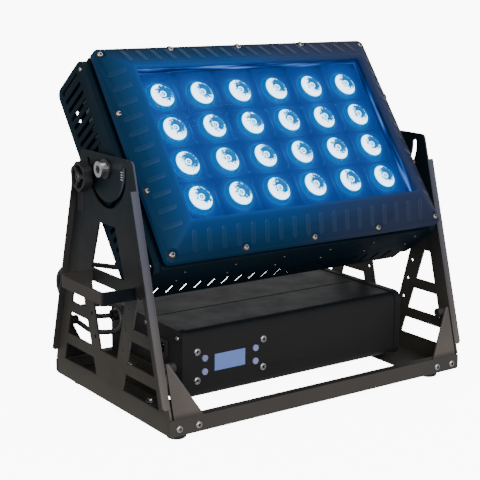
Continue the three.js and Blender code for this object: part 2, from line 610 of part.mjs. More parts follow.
// Front frame of the head: a hollow casting whose bands slope back from the rim
function bezel() {
  const band = [BEZEL_WIDTH, BEZEL_HEIGHT];
  const rim = [OPENING_WIDTH + 2 * RIM_FLAT, OPENING_HEIGHT + 2 * RIM_FLAT];
  const outer = loftY([[BEZEL_BACK, ...band, 9], [BEZEL_EDGE, ...band, 9], [BEZEL_RIM, ...rim, 6]]);
  const shrink = (size, by) => size.map((value) => value - 2 * by);
  const pocketFront = BEZEL_RIM + LIP;
  const glassSeat = shrink([OPENING_WIDTH, OPENING_HEIGHT], -REBATE - 1);
  const pocket = loftY([[BEZEL_BACK + 1, ...shrink(band, BEZEL_WALL), 6],
    [BEZEL_EDGE + 2, ...shrink(band, BEZEL_WALL), 6], [pocketFront, ...glassSeat, 5]]);
  const opening = loftY([[BEZEL_BACK, OPENING_WIDTH, OPENING_HEIGHT, 4],
    [BEZEL_RIM - 1, OPENING_WIDTH, OPENING_HEIGHT, 4]]);
  const floor = BEZEL_EDGE - POCKET_FLOOR;
  const seats = screwPlaces().map(([x, z]) =>
    rod('y', SCREW_POCKET + POCKET_WALL, BEZEL_RIM, floor + SHEET, x, z, 10).intersect(outer));
  const pockets = screwPlaces().map(([x, z]) => rod('y', SCREW_POCKET, BEZEL_RIM - 1, floor, x, z, 10));
  return cut(join(cut(outer, pocket), ...seats), opening, ...pockets);
}

function screwPlaces() {
  const [w, h] = [BEZEL_WIDTH / 2, BEZEL_HEIGHT / 2];
  const rows = [-2, -1, 0, 1, 2].flatMap((i) => [-1, 1].map((k) =>
    [i * BEZEL_SCREWS_X * (Math.abs(i) === 2 ? 0.99 : 1), k * (h - (Math.abs(i) === 2 ? 10 : 4))]));
  const ends = [-1, 1].flatMap((i) => [-1, 1].map((k) => [i * (w - 1), k * BEZEL_SCREWS_Z]));
  return [...rows, ...ends];
}

const sheet = (width, height, y0, y1, radius = 4) =>
  loftY([[y1, width, height, radius], [y0, width, height, radius]]);

const lensX = (i) => (i - (LENS_COLUMNS - 1) / 2) * LENS_PITCH_X;
const lensZ = (j) => ((LENS_ROWS - 1) / 2 - j) * LENS_PITCH_Z;

// One row of six collimator lenses moulded on a common strip
function lensRow(z) {
  const strip = block(lensX(0) - LENS_RADIUS, lensX(LENS_COLUMNS - 1) + LENS_RADIUS,
    LENS_STRIP, LENS_BACK, z - LENS_STRIP_HALF, z + LENS_STRIP_HALF);
  const r = LENS_RADIUS;
  const profile = [[0, 0], [r - 1, 0], [r, 6]];
  for (let i = 0; i <= 3; i++) {
    const angle = (i / 3) * Math.PI / 2;
    profile.push([r * Math.cos(angle), LENS_BACK - LENS_TOP - LENS_DOME * (1 - Math.sin(angle))]);
  }
  profile[profile.length - 1][0] = 0;
  const points = profile.map(([x, y]) => new THREE.Vector2(x, y));
  const lenses = Array.from({ length: LENS_COLUMNS }, (_, i) => {
    const lens = new THREE.LatheGeometry(points, 14);
    return solid(lens.rotateX(Math.PI).translate(lensX(i), LENS_BACK, z));
  });
  return join(strip, ...lenses);
}

function addOptics() {
  const [w, h] = [OPENING_WIDTH + 2 * REBATE, OPENING_HEIGHT + 2 * REBATE];
  const lipBack = BEZEL_RIM + LIP;
  const glassFront = lipBack + 2 * GAP + GASKET;
  const inner = sheet(OPENING_WIDTH + 1, OPENING_HEIGHT + 1, lipBack - 1, glassFront);
  add('glass_gasket', cut(sheet(w, h, lipBack + GAP, lipBack + GAP + GASKET), inner), 'rubber', head);
  add('front_glass', sheet(w, h, glassFront, glassFront + GLASS), 'glass', head);
  const holes = [];
  for (let j = 0; j < LENS_ROWS; j++) {
    for (let i = 0; i < LENS_COLUMNS; i++) {
      holes.push(rod('y', LENS_RADIUS + 0.6, PLATE_FRONT - 1, PLATE_FRONT + 3, lensX(i), lensZ(j), 14));
    }
    add(`lens_row_${j + 1}`, lensRow(lensZ(j)), 'lens', head);
  }
  const plate = sheet(w + 2 * PLATE_EDGE, h + PLATE_EDGE, PLATE_FRONT, PLATE_FRONT + 2);
  add('lens_plate', cut(plate, ...holes), 'casting', head);
  const boardFront = LENS_BACK + 2;
  const leds = [];
  for (let j = 0; j < LENS_ROWS; j++) {
    for (let i = 0; i < LENS_COLUMNS; i++) {
      const [x, z, half] = [lensX(i), lensZ(j), CHIP / 2];
      leds.push(block(x - half, x + half, boardFront - 1.2, boardFront + 0.5, z - half, z + half));
    }
  }
  const board = sheet(OPENING_WIDTH, OPENING_HEIGHT, boardFront, boardFront + BOARD);
  add('led_board', join(board, ...leds), 'board', head);
  add('heat_sink', heatSink(boardFront + BOARD + GAP), 'aluminium', head);
}

function heatSink(front) {
  const [w, h] = [BODY_HALF_X - COLLAR_STEP - SHEET - GAP, BODY_HALF_Z - COLLAR_STEP - SHEET - GAP];
  const fins = Array.from({ length: VENT_COUNT + 1 }, (_, i) => {
    const x = (i - VENT_COUNT / 2) * VENT_PITCH + VENT_SHIFT;
    return block(x - FIN / 2, x + FIN / 2, front + SINK_BASE - 1, FIN_BACK, 3 - h, h - 3);
  });
  return join(sheet(2 * w, 2 * h, front, front + SINK_BASE, 5), ...fins);
}

// Rear shell of the head: a stepped box, open in front, slotted above, below and behind
function headHousing() {
  const size = (x, z) => [2 * x, 2 * z];
  const [x, z, s] = [BODY_HALF_X, BODY_HALF_Z, COLLAR_STEP];
  const outside = join(
    loftY([[HEAD_BACK, ...size(x, z), 6], [COLLAR_BACK, ...size(x, z), 6]]),
    loftY([[COLLAR_BACK + 1, ...size(x - s, z - s), 4], [BEZEL_BACK + GAP, ...size(x - s, z - s), 4]]));
  const rimFlange = loftY([[BEZEL_BACK + GAP + SHEET, ...size(x, BEZEL_HEIGHT / 2 - 0.5), 6],
    [BEZEL_BACK + GAP, ...size(x, BEZEL_HEIGHT / 2 - 0.5), 6]]);
  const hollow = join(
    loftY([[HEAD_BACK - SHEET, ...size(x - SHEET, z - SHEET), 4],
      [COLLAR_BACK + SHEET, ...size(x - SHEET, z - SHEET), 4]]),
    loftY([[COLLAR_BACK + SHEET + 1, ...size(x - s - SHEET, z - s - SHEET), 3],
      [BEZEL_BACK - 1, ...size(x - s - SHEET, z - s - SHEET), 3]]));
  return cut(join(outside, rimFlange), hollow, ...headVents(), ...headSideHoles());
}

// Box that reaches from one height to another above the middle (1) or as far below it (-1)
function mirroredBlock(x0, x1, y0, y1, z0, z1, side) {
  return block(x0, x1, y0, y1, Math.min(side * z0, side * z1), Math.max(side * z0, side * z1));
}

// Slots in the top and bottom of the shell and in the rear wall behind them
function headVents() {
  const [z, wall] = [BODY_HALF_Z, 2 * SHEET];
  return Array.from({ length: VENT_COUNT }, (_, i) => {
    const x = (i - (VENT_COUNT - 1) / 2) * VENT_PITCH + VENT_SHIFT;
    const rear = x + REAR_VENT_SHIFT;
    return [-1, 1].flatMap((side) => [
      mirroredBlock(x - VENT_WIDTH / 2, x + VENT_WIDTH / 2, VENT_FRONT, VENT_BACK, z - wall, z + 1, side),
      mirroredBlock(rear - REAR_VENT_WIDTH / 2, rear + REAR_VENT_WIDTH / 2, HEAD_BACK - wall, HEAD_BACK + 1,
        z - SHEET - REAR_VENT_HEIGHT, z - SHEET, side)]);
  }).flat();
}

// Openings behind the side covers' slots, holes for bolts and studs, and the cable outlet
function headSideHoles() {
  const x = BODY_HALF_X;
  const [cornerIn, cornerOut, cornerLow, cornerHigh] = CORNER_VENT;
  const last = SIDE_VENT_FIRST + SIDE_VENT_PITCH * (SIDE_VENT_COUNT - 1);
  const vents = [-1, 1].flatMap((i) => [-1, 1].flatMap((side) => [
    mirroredBlock(i * x - 4, i * x + 4, SIDE_VENT_FRONT, SIDE_VENT_BACK, SIDE_VENT_FIRST - 5, last + 4, side),
    mirroredBlock(Math.min(i * cornerIn, i * cornerOut), Math.max(i * cornerIn, i * cornerOut),
      HEAD_BACK - 4, HEAD_BACK + 1, cornerLow, cornerHigh, side)]));
  const pivots = [-1, 1].flatMap((i) => [
    rod('x', BOLT_RADIUS + RUNNING, i * x - 4, i * x + 4, 0, 0, 16),
    rod('x', STUD_RADIUS + RUNNING, i * x - 4, i * x + 4, STUD_Y, STUD_Z, 12)]);
  const outlet = rod('y', GLAND_RADIUS - 1 + GAP, HEAD_BACK - 4, HEAD_BACK + 1,
    HEAD_GLAND_X, HEAD_GLAND_Z, 16);
  return [...vents, ...pivots, outlet];
}

// Side cover, drawn for the left: a shallow louvred tray over the head's end
function sideCover() {
  const depth = COVER_BACK - COLLAR_BACK;
  const middle = (COVER_BACK + COLLAR_BACK) / 2;
  const outline = (by) => roundedRect(depth - 2 * by, 2 * (BODY_HALF_Z - by), COVER_CORNER - by, middle, 0);
  const tray = cut(sheetX(outline(0), -COVER_X, -BODY_HALF_X - GAP, 4),
    sheetX(outline(COVER_SKIN), -COVER_X + COVER_SKIN, -BODY_HALF_X, 3));
  const slots = Array.from({ length: SIDE_VENT_COUNT }, (_, i) => SIDE_VENT_FIRST + i * SIDE_VENT_PITCH)
    .flatMap((z) => [z, -z]).map((z) => block(-COVER_X - 1, -COVER_X + 4, SIDE_VENT_FRONT, SIDE_VENT_BACK,
      z - SIDE_VENT_WIDTH / 2, z + SIDE_VENT_WIDTH / 2));
  return cut(tray, ...slots,
    rod('x', BOSS_RADIUS + GAP, -COVER_X - 1, -COVER_X + 4, 0, 0, 24),
    rod('x', STUD_RADIUS + RUNNING, -COVER_X - 1, -COVER_X + 4, STUD_Y, STUD_Z, 12));
}

// Steel block inside a side cover: it carries the tilt bolt and takes the lock stud
function pivotBlock() {
  const [back, front] = [-BODY_HALF_X - 2 * GAP, -COVER_X + COVER_SKIN + GAP];
  const length = BLOCK_FRONT + ARC_RADIUS + BLOCK_BACK;
  const slab = sheetX(roundedRect(length, BLOCK_HEIGHT, 6, length / 2 - BLOCK_FRONT, 0), front, back, 3);
  const boss = rod('x', BOSS_RADIUS, -PLATE_IN_X + GAP, back, 0, 0, 24);
  return cut(join(slab, boss), rod('x', BOLT_RADIUS + GAP, -PLATE_FACE_X, back + 1, 0, 0, 16),
    rod('x', STUD_RADIUS + GAP, front - 1, back + 1, STUD_Y, STUD_Z, 12));
}

function pivotBolt() {
  const seat = -PLATE_FACE_X - 2 * GAP - WASHER;
  const shank = rod('x', BOLT_RADIUS, seat - 1, -BODY_HALF_X - 2 * GAP + 1.5, 0, 0, 16);
  const boltHead = rod('x', BOLT_HEAD_RADIUS, seat - BOLT_HEAD_LENGTH, seat, 0, 0, 24);
  const end = seat - BOLT_HEAD_LENGTH;
  const hex = rod('x', BOLT_SOCKET, end - 1, end + BOLT_SOCKET_DEPTH, 0, 0, 6);
  return cut(join(shank, boltHead), hex);
}

function pivotWasher() {
  const face = -PLATE_FACE_X - GAP;
  return cut(rod('x', WASHER_RADIUS, face - WASHER, face, 0, 0, 24),
    rod('x', BOLT_RADIUS + GAP, face - WASHER - 1, face + 1, 0, 0, 16));
}

// Lobed hand knob with its stud, on its own axis
function lockKnob() {
  const shape = new THREE.Shape();
  const steps = KNOB_LOBES * 6;
  for (let i = 0; i < steps; i++) {
    const angle = (i / steps) * 2 * Math.PI;
    const r = KNOB_RADIUS - 1.2 + 1.2 * Math.cos(KNOB_LOBES * angle);
    const p = [r * Math.cos(angle), r * Math.sin(angle)];
    if (i) shape.lineTo(...p); else shape.moveTo(...p);
  }
  const face = -PLATE_FACE_X - 2 * GAP;
  const grip = sheetX(shape, face - KNOB_LENGTH, face - KNOB_COLLAR);
  const collar = rod('x', 9, face - KNOB_COLLAR - 1, face, 0, 0, 20);
  const stud = rod('x', STUD_RADIUS, face - 1, -BODY_HALF_X - 2 * GAP + 1.5, 0, 0, 12);
  const [end, depth] = [face - KNOB_LENGTH - 1, face - KNOB_LENGTH + KNOB_POCKET_DEPTH];
  const spokes = [0, 120, 240].map((angle) =>
    block(end, depth, -KNOB_SPOKE / 2, KNOB_SPOKE / 2, 0, KNOB_RADIUS).rotate([angle, 0, 0]));
  const pocket = cut(rod('x', KNOB_POCKET, end, depth, 0, 0, 24),
    rod('x', KNOB_HUB, end, depth + 1, 0, 0, 16), ...spokes);
  return cut(join(grip, collar, stud), pocket);
}

function addHead() {
  add('bezel', bezel(), 'casting', head);
  addOptics();
  add('head_housing', headHousing(), 'casting', head);
  for (const [name, side] of SIDES) {
    add(`side_cover_${name}`, onSide(sideCover(), side), 'casting', head);
    add(`pivot_block_${name}`, onSide(pivotBlock(), side), 'steel', head);
    add(`pivot_bolt_${name}`, onSide(pivotBolt(), side), 'steel', head);
    add(`pivot_washer_${name}`, onSide(pivotWasher(), side), 'steel', head);
    add(`lock_knob_${name}`, onSide(lockKnob(), side), 'plastic', head).position.set(0, STUD_Y, STUD_Z);
  }
}

// Link cable from the box to the head: out of the left cap and back, down and forward again, up and
// back over itself, then up behind the side plate's window and forward into the back of the head
function linkCable() {
  head.updateMatrix();
  const start = new THREE.Vector3(-CAP_END - GLAND_LENGTH - GAP, LINK_Y, LINK_Z);
  const end = new THREE.Vector3(HEAD_GLAND_X, HEAD_BACK + GLAND_LENGTH + GAP, HEAD_GLAND_Z);
  end.applyMatrix4(head.matrix);
  const away = new THREE.Vector3(0, 1, 0).transformDirection(head.matrix);
  const route = [
    [-221.6, 61.9, 110], [-226.5, 67, 109.4], [-228.8, 75, 108.8], [-231, 88, 109.5], [-234.5, 102, 112],
    [-237.5, 118, 116], [-239, 134, 119.5], [-239, 147, 120], [-238.3, 157.3, 115.8],
    [-236.2, 161.8, 106.5], [-233.3, 158.8, 97.5], [-231, 149.5, 92], [-229.5, 138, 89.3],
    [-229, 114, 86.2], [-230, 87, 84.8], [-230, 64, 88], [-230, 43.8, 92.8], [-230, 27, 97.5],
    [-230, 13, 102.3], [-229.5, 3, 109], [-228.5, -1, 119.5], [-227.5, 3.6, 129.8],
    [-226.7, 12.5, 134.8], [-226, 30, 134.8], [-226, 52.8, 129.9], [-226, 78.7, 123.2], [-226, 105, 115],
    [-226, 124, 109], [-226, 141, 106.5], [-228, 156, 108], [-231.5, 167, 116.5], [-234.5, 171.5, 131],
    [-236, 167.5, 147], [-236, 157, 158], [-234, 140, 166.5], [-230, 115, 174], [-226, 82.5, 179.5],
    [-222, 52, 183.2], [-220, 37, 184.8],
  ].map(([x, y, z]) => new THREE.Vector3(x, y, z));
  const path = new THREE.CatmullRomCurve3([
    start, start.clone().add(new THREE.Vector3(-4, 0, 0)), ...route,
    end.clone().addScaledVector(away, 5), end,
  ], false, 'centripetal');
  const section = new THREE.Shape();
  section.absarc(0, 0, CABLE_RADIUS, 0, 2 * Math.PI);
  const geometry = new THREE.ExtrudeGeometry(section, {
    steps: 80, curveSegments: 4, bevelEnabled: false, extrudePath: path });
  return { body: solid(geometry), length: path.getLength() };
}

addStand();
add('carry_handle', carryHandle(), 'frame');
addBox();
addElectronics();
addHead();
const headGland = add('head_gland', gland(SHEET), 'plastic', head);
headGland.position.set(HEAD_GLAND_X, HEAD_BACK, HEAD_GLAND_Z);
const cable = linkCable();
add('link_cable', cable.body, 'rubber');

// Stand the part on the middle of its footprint, the cable left out
part.updateMatrixWorld(true);
const footprint = new THREE.Box3();
part.traverse((node) => {
  if (node.isMesh && node.name !== 'link_cable') footprint.expandByObject(node, true);
});
const centre = footprint.getCenter(new THREE.Vector3());
part.position.set(-centre.x, -centre.y, -footprint.min.z);
const shift = part.position.toArray().map((v) => v.toFixed(3));
console.log(`moved by ${shift}, link cable ${cable.length.toFixed(0)} mm`);

export default part;
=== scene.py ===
import json
import math

import bmesh
import bpy
from mathutils import Matrix, Vector


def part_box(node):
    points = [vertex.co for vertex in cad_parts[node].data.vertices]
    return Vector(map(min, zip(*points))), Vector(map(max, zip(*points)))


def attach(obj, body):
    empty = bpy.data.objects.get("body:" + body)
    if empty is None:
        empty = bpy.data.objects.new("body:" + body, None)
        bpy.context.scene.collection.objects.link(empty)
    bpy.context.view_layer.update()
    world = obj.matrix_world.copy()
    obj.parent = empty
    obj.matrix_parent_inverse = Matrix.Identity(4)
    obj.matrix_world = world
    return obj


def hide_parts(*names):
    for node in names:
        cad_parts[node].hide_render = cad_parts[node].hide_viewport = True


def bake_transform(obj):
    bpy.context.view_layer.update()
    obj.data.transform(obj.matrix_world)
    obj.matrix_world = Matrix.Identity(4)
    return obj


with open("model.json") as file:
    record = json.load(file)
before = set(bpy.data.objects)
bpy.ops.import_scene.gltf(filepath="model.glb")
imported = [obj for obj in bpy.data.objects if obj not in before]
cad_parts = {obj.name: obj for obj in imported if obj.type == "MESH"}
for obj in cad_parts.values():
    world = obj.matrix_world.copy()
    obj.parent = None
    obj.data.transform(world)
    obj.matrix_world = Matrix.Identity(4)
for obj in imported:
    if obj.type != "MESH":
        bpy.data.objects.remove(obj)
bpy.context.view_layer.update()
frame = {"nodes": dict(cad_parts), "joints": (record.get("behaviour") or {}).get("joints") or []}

MM = 0.001
TINY = 1e-9
TILT = math.radians(37)
TILT_JOINT = next(j for j in frame["joints"] if j["name"] == "head_tilt")
PIVOT = Vector(TILT_JOINT["pos_m"])
MIDDLE = Vector((PIVOT.x, PIVOT.y, 0))
HEAD = Matrix.Translation(PIVOT) @ Matrix.Rotation(-TILT, 4, "X")

UP = Vector((0, 0, 1))
FRONT = Vector((0, -1, 0))
BACK = Vector((0, 1, 0))
SIDES = (("left", -1), ("right", 1))

# Camera of the photograph: its place in millimetres from the middle of the stand, its angles in
# degrees, its focal length and the picture's width in pixels
CAMERA_AT = (-1008.2, -1375.8, 582.2)
CAMERA_YAW = -35.25
CAMERA_PITCH = -12.56
CAMERA_ROLL = 0.54
FOCAL_PX = 1222.8
FRAME_PX = 480
SENSOR_WIDTH = 36

# Sizes of the CAD model, in millimetres. Names in X run from the middle, in N forward from the
# tilt axis along the beam and in V up the head's face from the tilt axis
BAR_FRONT = 155.5
PLATE_X = 249
SHEET = 2.5
BEZEL_WIDTH = 465.6
BEZEL_HEIGHT = 314.5
BEZEL_EDGE_N = 37.3
BEZEL_RIM_N = 62.3
OPEN_WIDTH = 385
OPEN_HEIGHT = 226
RIM_FLAT = 4
POCKET_FLOOR_N = 38.8
LENS_COLUMNS = 6
LENS_ROWS = 4
LENS_PITCH_X = 62.9
LENS_PITCH_V = 51.6
LENS_RADIUS = 20
BODY_V = 157.5
COVER_X = 240.5
BOX_FRONT = -90
BOX_CAP_X = 190.3


def at(x, y, z):
    """A place on the stand, in millimetres from its middle and the floor."""
    return MIDDLE + Vector((x, y, z)) * MM


def on_head(x, n, v):
    """A place on the head: across, forward along the beam and up the face, in millimetres."""
    return HEAD @ Vector((x * MM, -n * MM, v * MM))


def head_dir(x, n, v):
    """A direction on the head, as a unit vector."""
    return (HEAD.to_3x3() @ Vector((x, -n, v))).normalized()


# Node helpers

def set_values(node, values):
    for socket, value in values.items():
        node.inputs[socket].default_value = value


def new_material(name, values=None):
    """A material, its node tree and its shader with the given plain values."""
    material = bpy.data.materials.new(name)
    material.use_nodes = True
    tree = material.node_tree
    shader = tree.nodes["Principled BSDF"]
    set_values(shader, values or {})
    return material, tree, shader


def link(tree, a, out, b, into):
    tree.links.new(a.outputs[out], b.inputs[into])


def noise(tree, scale, detail, roughness=0.55):
    coords = tree.nodes.new("ShaderNodeTexCoord")
    node = tree.nodes.new("ShaderNodeTexNoise")
    set_values(node, {"Scale": scale, "Detail": detail, "Roughness": roughness})
    link(tree, coords, "Object", node, "Vector")
    return node


def streaks(tree, source, output, stretch, detail):
    """Noise with its own scale along each axis of the given coordinates."""
    mapping = tree.nodes.new("ShaderNodeMapping")
    mapping.inputs["Scale"].default_value = stretch
    link(tree, source, output, mapping, "Vector")
    node = tree.nodes.new("ShaderNodeTexNoise")
    set_values(node, {"Scale": 1, "Detail": detail})
    link(tree, mapping, "Vector", node, "Vector")
    return node


def turned_to_head(tree, source, output):
    """Coordinates whose Z runs up the head's face and whose Y runs against the beam."""
    node = tree.nodes.new("ShaderNodeVectorRotate")
    node.rotation_type = "X_AXIS"
    node.inputs["Angle"].default_value = TILT
    link(tree, source, output, node, "Vector")
    return node


def ramp(tree, source, stops, output="Fac"):
    node = tree.nodes.new("ShaderNodeValToRGB")
    elements = node.color_ramp.elements
    while len(elements) < len(stops):
        elements.new(0.5)
    for element, (place, color) in zip(elements, stops):
        element.position = place
        element.color = (*color, 1)
    link(tree, source, output, node, "Fac")
    return node


def math_node(tree, operation, first, output, value=None, second=None, second_output="Value"):
    node = tree.nodes.new("ShaderNodeMath")
    node.operation = operation
    link(tree, first, output, node, 0)
    if second:
        link(tree, second, second_output, node, 1)
    elif value is not None:
        node.inputs[1].default_value = value
    return node


def vector_node(tree, operation, source, output, value=None):
    node = tree.nodes.new("ShaderNodeVectorMath")
    node.operation = operation
    link(tree, source, output, node, 0)
    if value is not None:
        node.inputs[1].default_value = value
    return node


def color_mix(tree, blend="MIX"):
    node = tree.nodes.new("ShaderNodeMix")
    node.data_type = "RGBA"
    node.blend_type = blend
    return node


def grey(value):
    return (value, value, value)


def scaled(color, factor):
    return [c * factor for c in color]


def cloudy_gloss(tree, shader, scale, detail, low, high):
    """Roughness that wanders between two values."""
    gloss = ramp(tree, noise(tree, scale, detail), [(0.3, grey(low)), (0.7, grey(high))])
    link(tree, gloss, "Color", shader, "Roughness")


def bump(tree, shader, height, strength, distance):
    node = tree.nodes.new("ShaderNodeBump")
    set_values(node, {"Strength": strength, "Distance": distance})
    link(tree, height, "Fac", node, "Height")
    link(tree, node, "Normal", shader, "Normal")


# Materials

# Rubbed edges: how much of them shows, and the worn colour as a factor and a lift of the coat's
EDGE_WEAR = 0.4
WORN_FACTOR = 2.4
WORN_LIFT = 0.01
BRUSH_STRETCH = (60, 900, 900)

# Light of the lamps on the bezel, from the opening outwards over GLOW_REACH millimetres. It turns
# grey from the left to the right of the opening
GLOW_REACH = 48
GLOW = [(0.0, (0.002, 0.06, 0.27)), (0.12, (0.001, 0.04, 0.17)),
        (0.5, (0.0, 0.023, 0.08)), (1.0, (0.0, 0.008, 0.024))]
GLOW_STRENGTH = 1.1
GREY_LIGHT = (0.022, 0.017, 0.036, 1)
BLUE_SHARE = [(0.4, grey(1)), (0.65, grey(0.45)), (0.95, grey(0.2))]

# Painted reflections on the frame round the lenses: stretch of their streaks and their tones
WALL_STRETCH = (14, 170, 14)
WALL_REFLECTION_TONES = [(0.38, (0.0, 0.006, 0.04)), (0.5, (0.0, 0.035, 0.2)),
              (0.6, (0.03, 0.12, 0.45)), (0.72, (0.18, 0.32, 0.75))]
PANEL_HALO = [(0.0, (0.0, 0.2, 0.62)), (0.09, (0.0, 0.085, 0.4)), (0.3, (0.0, 0.055, 0.3)),
              (0.7, (0.0, 0.04, 0.22)), (1.0, (0.0, 0.014, 0.1))]
PANEL_BASE = (0.002, 0.006, 0.02, 1)

# Lens: centres of its rings in shares of its radius, and the crescent's offset and frayed edge
CRESCENT_FROM = (0.34, 0.22)
CRESCENT_OFFSET = 0.9
DISC_FROM = (0.07, 0.03)
RING_FROM = (0.06, 0.04)
SPOT_FROM = (0.05, 0.04)
FACET_SHARE = 1.6
LENS_GLARE = 3.6

# Painted light and shade run over the height of the object, from the floor up to this many
# millimetres
PAINTED_LIGHT_HEIGHT = 340
FRAME_COAT = {"color": (0.022, 0.0205, 0.0195), "rough": 0.42, "grain": 1400,
              "depth": 0.00008, "shine": 0.14}
BOX_COAT = {"color": (0.009, 0.0088, 0.0088), "rough": 0.4, "grain": 1800,
            "depth": 0.00005, "shine": 0.16}
# The ribs' coat: a little lighter than the head's, a painted highlight, and glossier
RIB_HIGHLIGHT_COAT = {"color": (0.002, 0.01, 0.018), "rough": 0.34, "grain": 1100,
            "depth": 0.0001, "shine": 0.16}
HEAD_COAT = {"color": (0.0016, 0.0085, 0.016), "rough": 0.5, "grain": 1100,
             "depth": 0.0001, "shine": 0.05}
# Painted light on the frame, as factors on its coat. Faces that look sideways are lighter and
# warmer low down, where the floor would light them, and darker and bluer higher up, a painted
# shade. Faces that look forward are lighter over their whole height, a painted highlight that is
# strongest low down.
FRAME_SIDE_PAINTED_LIGHT = [(0.25, (1.35, 1.29, 1.1)), (0.6, (0.55, 0.6, 0.68)), (0.85, (0.12, 0.3, 0.42))]
FRAME_FRONT_PAINTED_LIGHT = [(0.09, (1.6, 1.55, 1.5)), (0.11, (3.7, 3.35, 3.1)), (0.3, (2.9, 2.8, 2.85)),
               (0.75, (2.3, 2.6, 3.7))]
# Painted light and shade on the handle: faces that look sideways lighter and warmer, faces that
# look forward near black
HANDLE_SIDE_PAINTED_LIGHT = [(0, (1.3, 1.15, 1.05)), (1, (1.3, 1.15, 1.05))]
HANDLE_FRONT_PAINTED_SHADE = [(0, (0.12, 0.2, 0.3)), (1, (0.12, 0.2, 0.3))]
# Painted shade on the top faces of the box, under the head
BOX_TOP_PAINTED_SHADE = [(0, (0.3, 0.4, 0.55)), (1, (0.3, 0.4, 0.55))]


def powder_coat(name, color, rough, grain, depth, shine):
    """Baked powder coat: fine orange peel, cloudy gloss and edges rubbed a little lighter."""
    material, tree, shader = new_material(name, {"Specular IOR Level": shine})
    tone = ramp(tree, noise(tree, 9, 5), [(0.3, scaled(color, 0.8)), (0.7, scaled(color, 1.25))])
    surface = tree.nodes.new("ShaderNodeNewGeometry")
    rub = ramp(tree, surface, [(0.5, grey(0)), (0.58, grey(EDGE_WEAR))], "Pointiness")
    worn = color_mix(tree)
    worn.inputs["B"].default_value = (*[c * WORN_FACTOR + WORN_LIFT for c in color], 1)
    link(tree, rub, "Color", worn, "Factor")
    link(tree, tone, "Color", worn, "A")
    link(tree, worn, "Result", shader, "Base Color")
    cloudy_gloss(tree, shader, 26, 4, rough - 0.06, rough + 0.08)
    bump(tree, shader, noise(tree, grain, 2), 0.55, depth)
    return material


def lit_coat(name, coat):
    """The head's powder coat with the lamps' blue light falling on it round the opening."""
    material = powder_coat(name, **coat)
    tree = material.node_tree
    shader = tree.nodes["Principled BSDF"]
    coords = tree.nodes.new("ShaderNodeTexCoord")
    centred = vector_node(tree, "SUBTRACT", coords, "Object", tuple(PIVOT))
    axes = tree.nodes.new("ShaderNodeSeparateXYZ")
    link(tree, turned_to_head(tree, centred, "Vector"), "Vector", axes, "Vector")
    past = []
    for axis, width in (("X", OPEN_WIDTH), ("Z", OPEN_HEIGHT)):
        size = math_node(tree, "ABSOLUTE", axes, axis)
        past.append(math_node(tree, "SUBTRACT", size, "Value", width / 2 * MM))
    far = math_node(tree, "MAXIMUM", past[0], "Value", second=past[1])
    share = math_node(tree, "MULTIPLY", far, "Value", 1 / (GLOW_REACH * MM))
    glow = ramp(tree, share, GLOW, "Value")
    across = math_node(tree, "MULTIPLY_ADD", axes, "X", 1 / (OPEN_WIDTH * MM))
    across.inputs[2].default_value = 0.5
    light = color_mix(tree)
    light.inputs["A"].default_value = GREY_LIGHT
    link(tree, ramp(tree, across, BLUE_SHARE, "Value"), "Color", light, "Factor")
    link(tree, glow, "Color", light, "B")
    link(tree, light, "Result", shader, "Emission Color")
    shader.inputs["Emission Strength"].default_value = GLOW_STRENGTH
    return material


def wall_light():
    """Glossy frame round the lenses: painted blue reflections, made as glow in long broken
    streaks.
    """
    material, tree, shader = new_material("wall_light", {
        "Base Color": PANEL_BASE, "Roughness": 0.3, "Specular IOR Level": 0.1,
        "Emission Strength": 1})
    coords = tree.nodes.new("ShaderNodeTexCoord")
    turned = turned_to_head(tree, coords, "Object")
    tone = ramp(tree, streaks(tree, turned, "Vector", WALL_STRETCH, 2), WALL_REFLECTION_TONES)
    link(tree, tone, "Color", shader, "Emission Color")
    return material


def shaded_coat(name, coat, side=None, front=None, top=None):
    """Powder coat with painted light and shade, as the pale floor and the softboxes would light
    it: for the faces that look along X, Y (before the middle) and Z, each a ramp over the object's
    height."""
    material = powder_coat(name, **coat)
    tree = material.node_tree
    shader = tree.nodes["Principled BSDF"]
    painted = shader.inputs["Base Color"].links[0].from_node
    coords = tree.nodes.new("ShaderNodeTexCoord")
    axes = tree.nodes.new("ShaderNodeSeparateXYZ")
    link(tree, coords, "Object", axes, "Vector")
    height = math_node(tree, "MULTIPLY", axes, "Z", 1 / (PAINTED_LIGHT_HEIGHT * MM))
    before = math_node(tree, "LESS_THAN", axes, "Y", 0)
    surface = tree.nodes.new("ShaderNodeNewGeometry")
    normal = tree.nodes.new("ShaderNodeSeparateXYZ")
    link(tree, surface, "True Normal", normal, "Vector")
    for axis, stops in (("X", side), ("Y", front), ("Z", top)):
        if not stops:
            continue
        share = math_node(tree, "ABSOLUTE", normal, axis)
        if axis == "Y":
            share = math_node(tree, "MULTIPLY", share, "Value", second=before)
        light_and_shade = color_mix(tree, "MULTIPLY")
        link(tree, share, "Value", light_and_shade, "Factor")
        link(tree, painted, "Result", light_and_shade, "A")
        link(tree, ramp(tree, height, stops, "Value"), "Color", light_and_shade, "B")
        painted = light_and_shade
    link(tree, painted, "Result", shader, "Base Color")
    return material


def brushed(name, color, rough=0.24):
    """Bare metal with fine turning marks."""
    material, tree, shader = new_material(name, {"Metallic": 1})
    coords = tree.nodes.new("ShaderNodeTexCoord")
    marks = streaks(tree, coords, "Object", BRUSH_STRETCH, 4)
    tone = ramp(tree, marks, [(0.3, scaled(color, 0.82)), (0.7, color)])
    link(tree, tone, "Color", shader, "Base Color")
    gloss = ramp(tree, marks, [(0.3, grey(rough)), (0.75, grey(rough + 0.14))])
    link(tree, gloss, "Color", shader, "Roughness")
    bump(tree, shader, marks, 0.25, 0.00004)
    return material


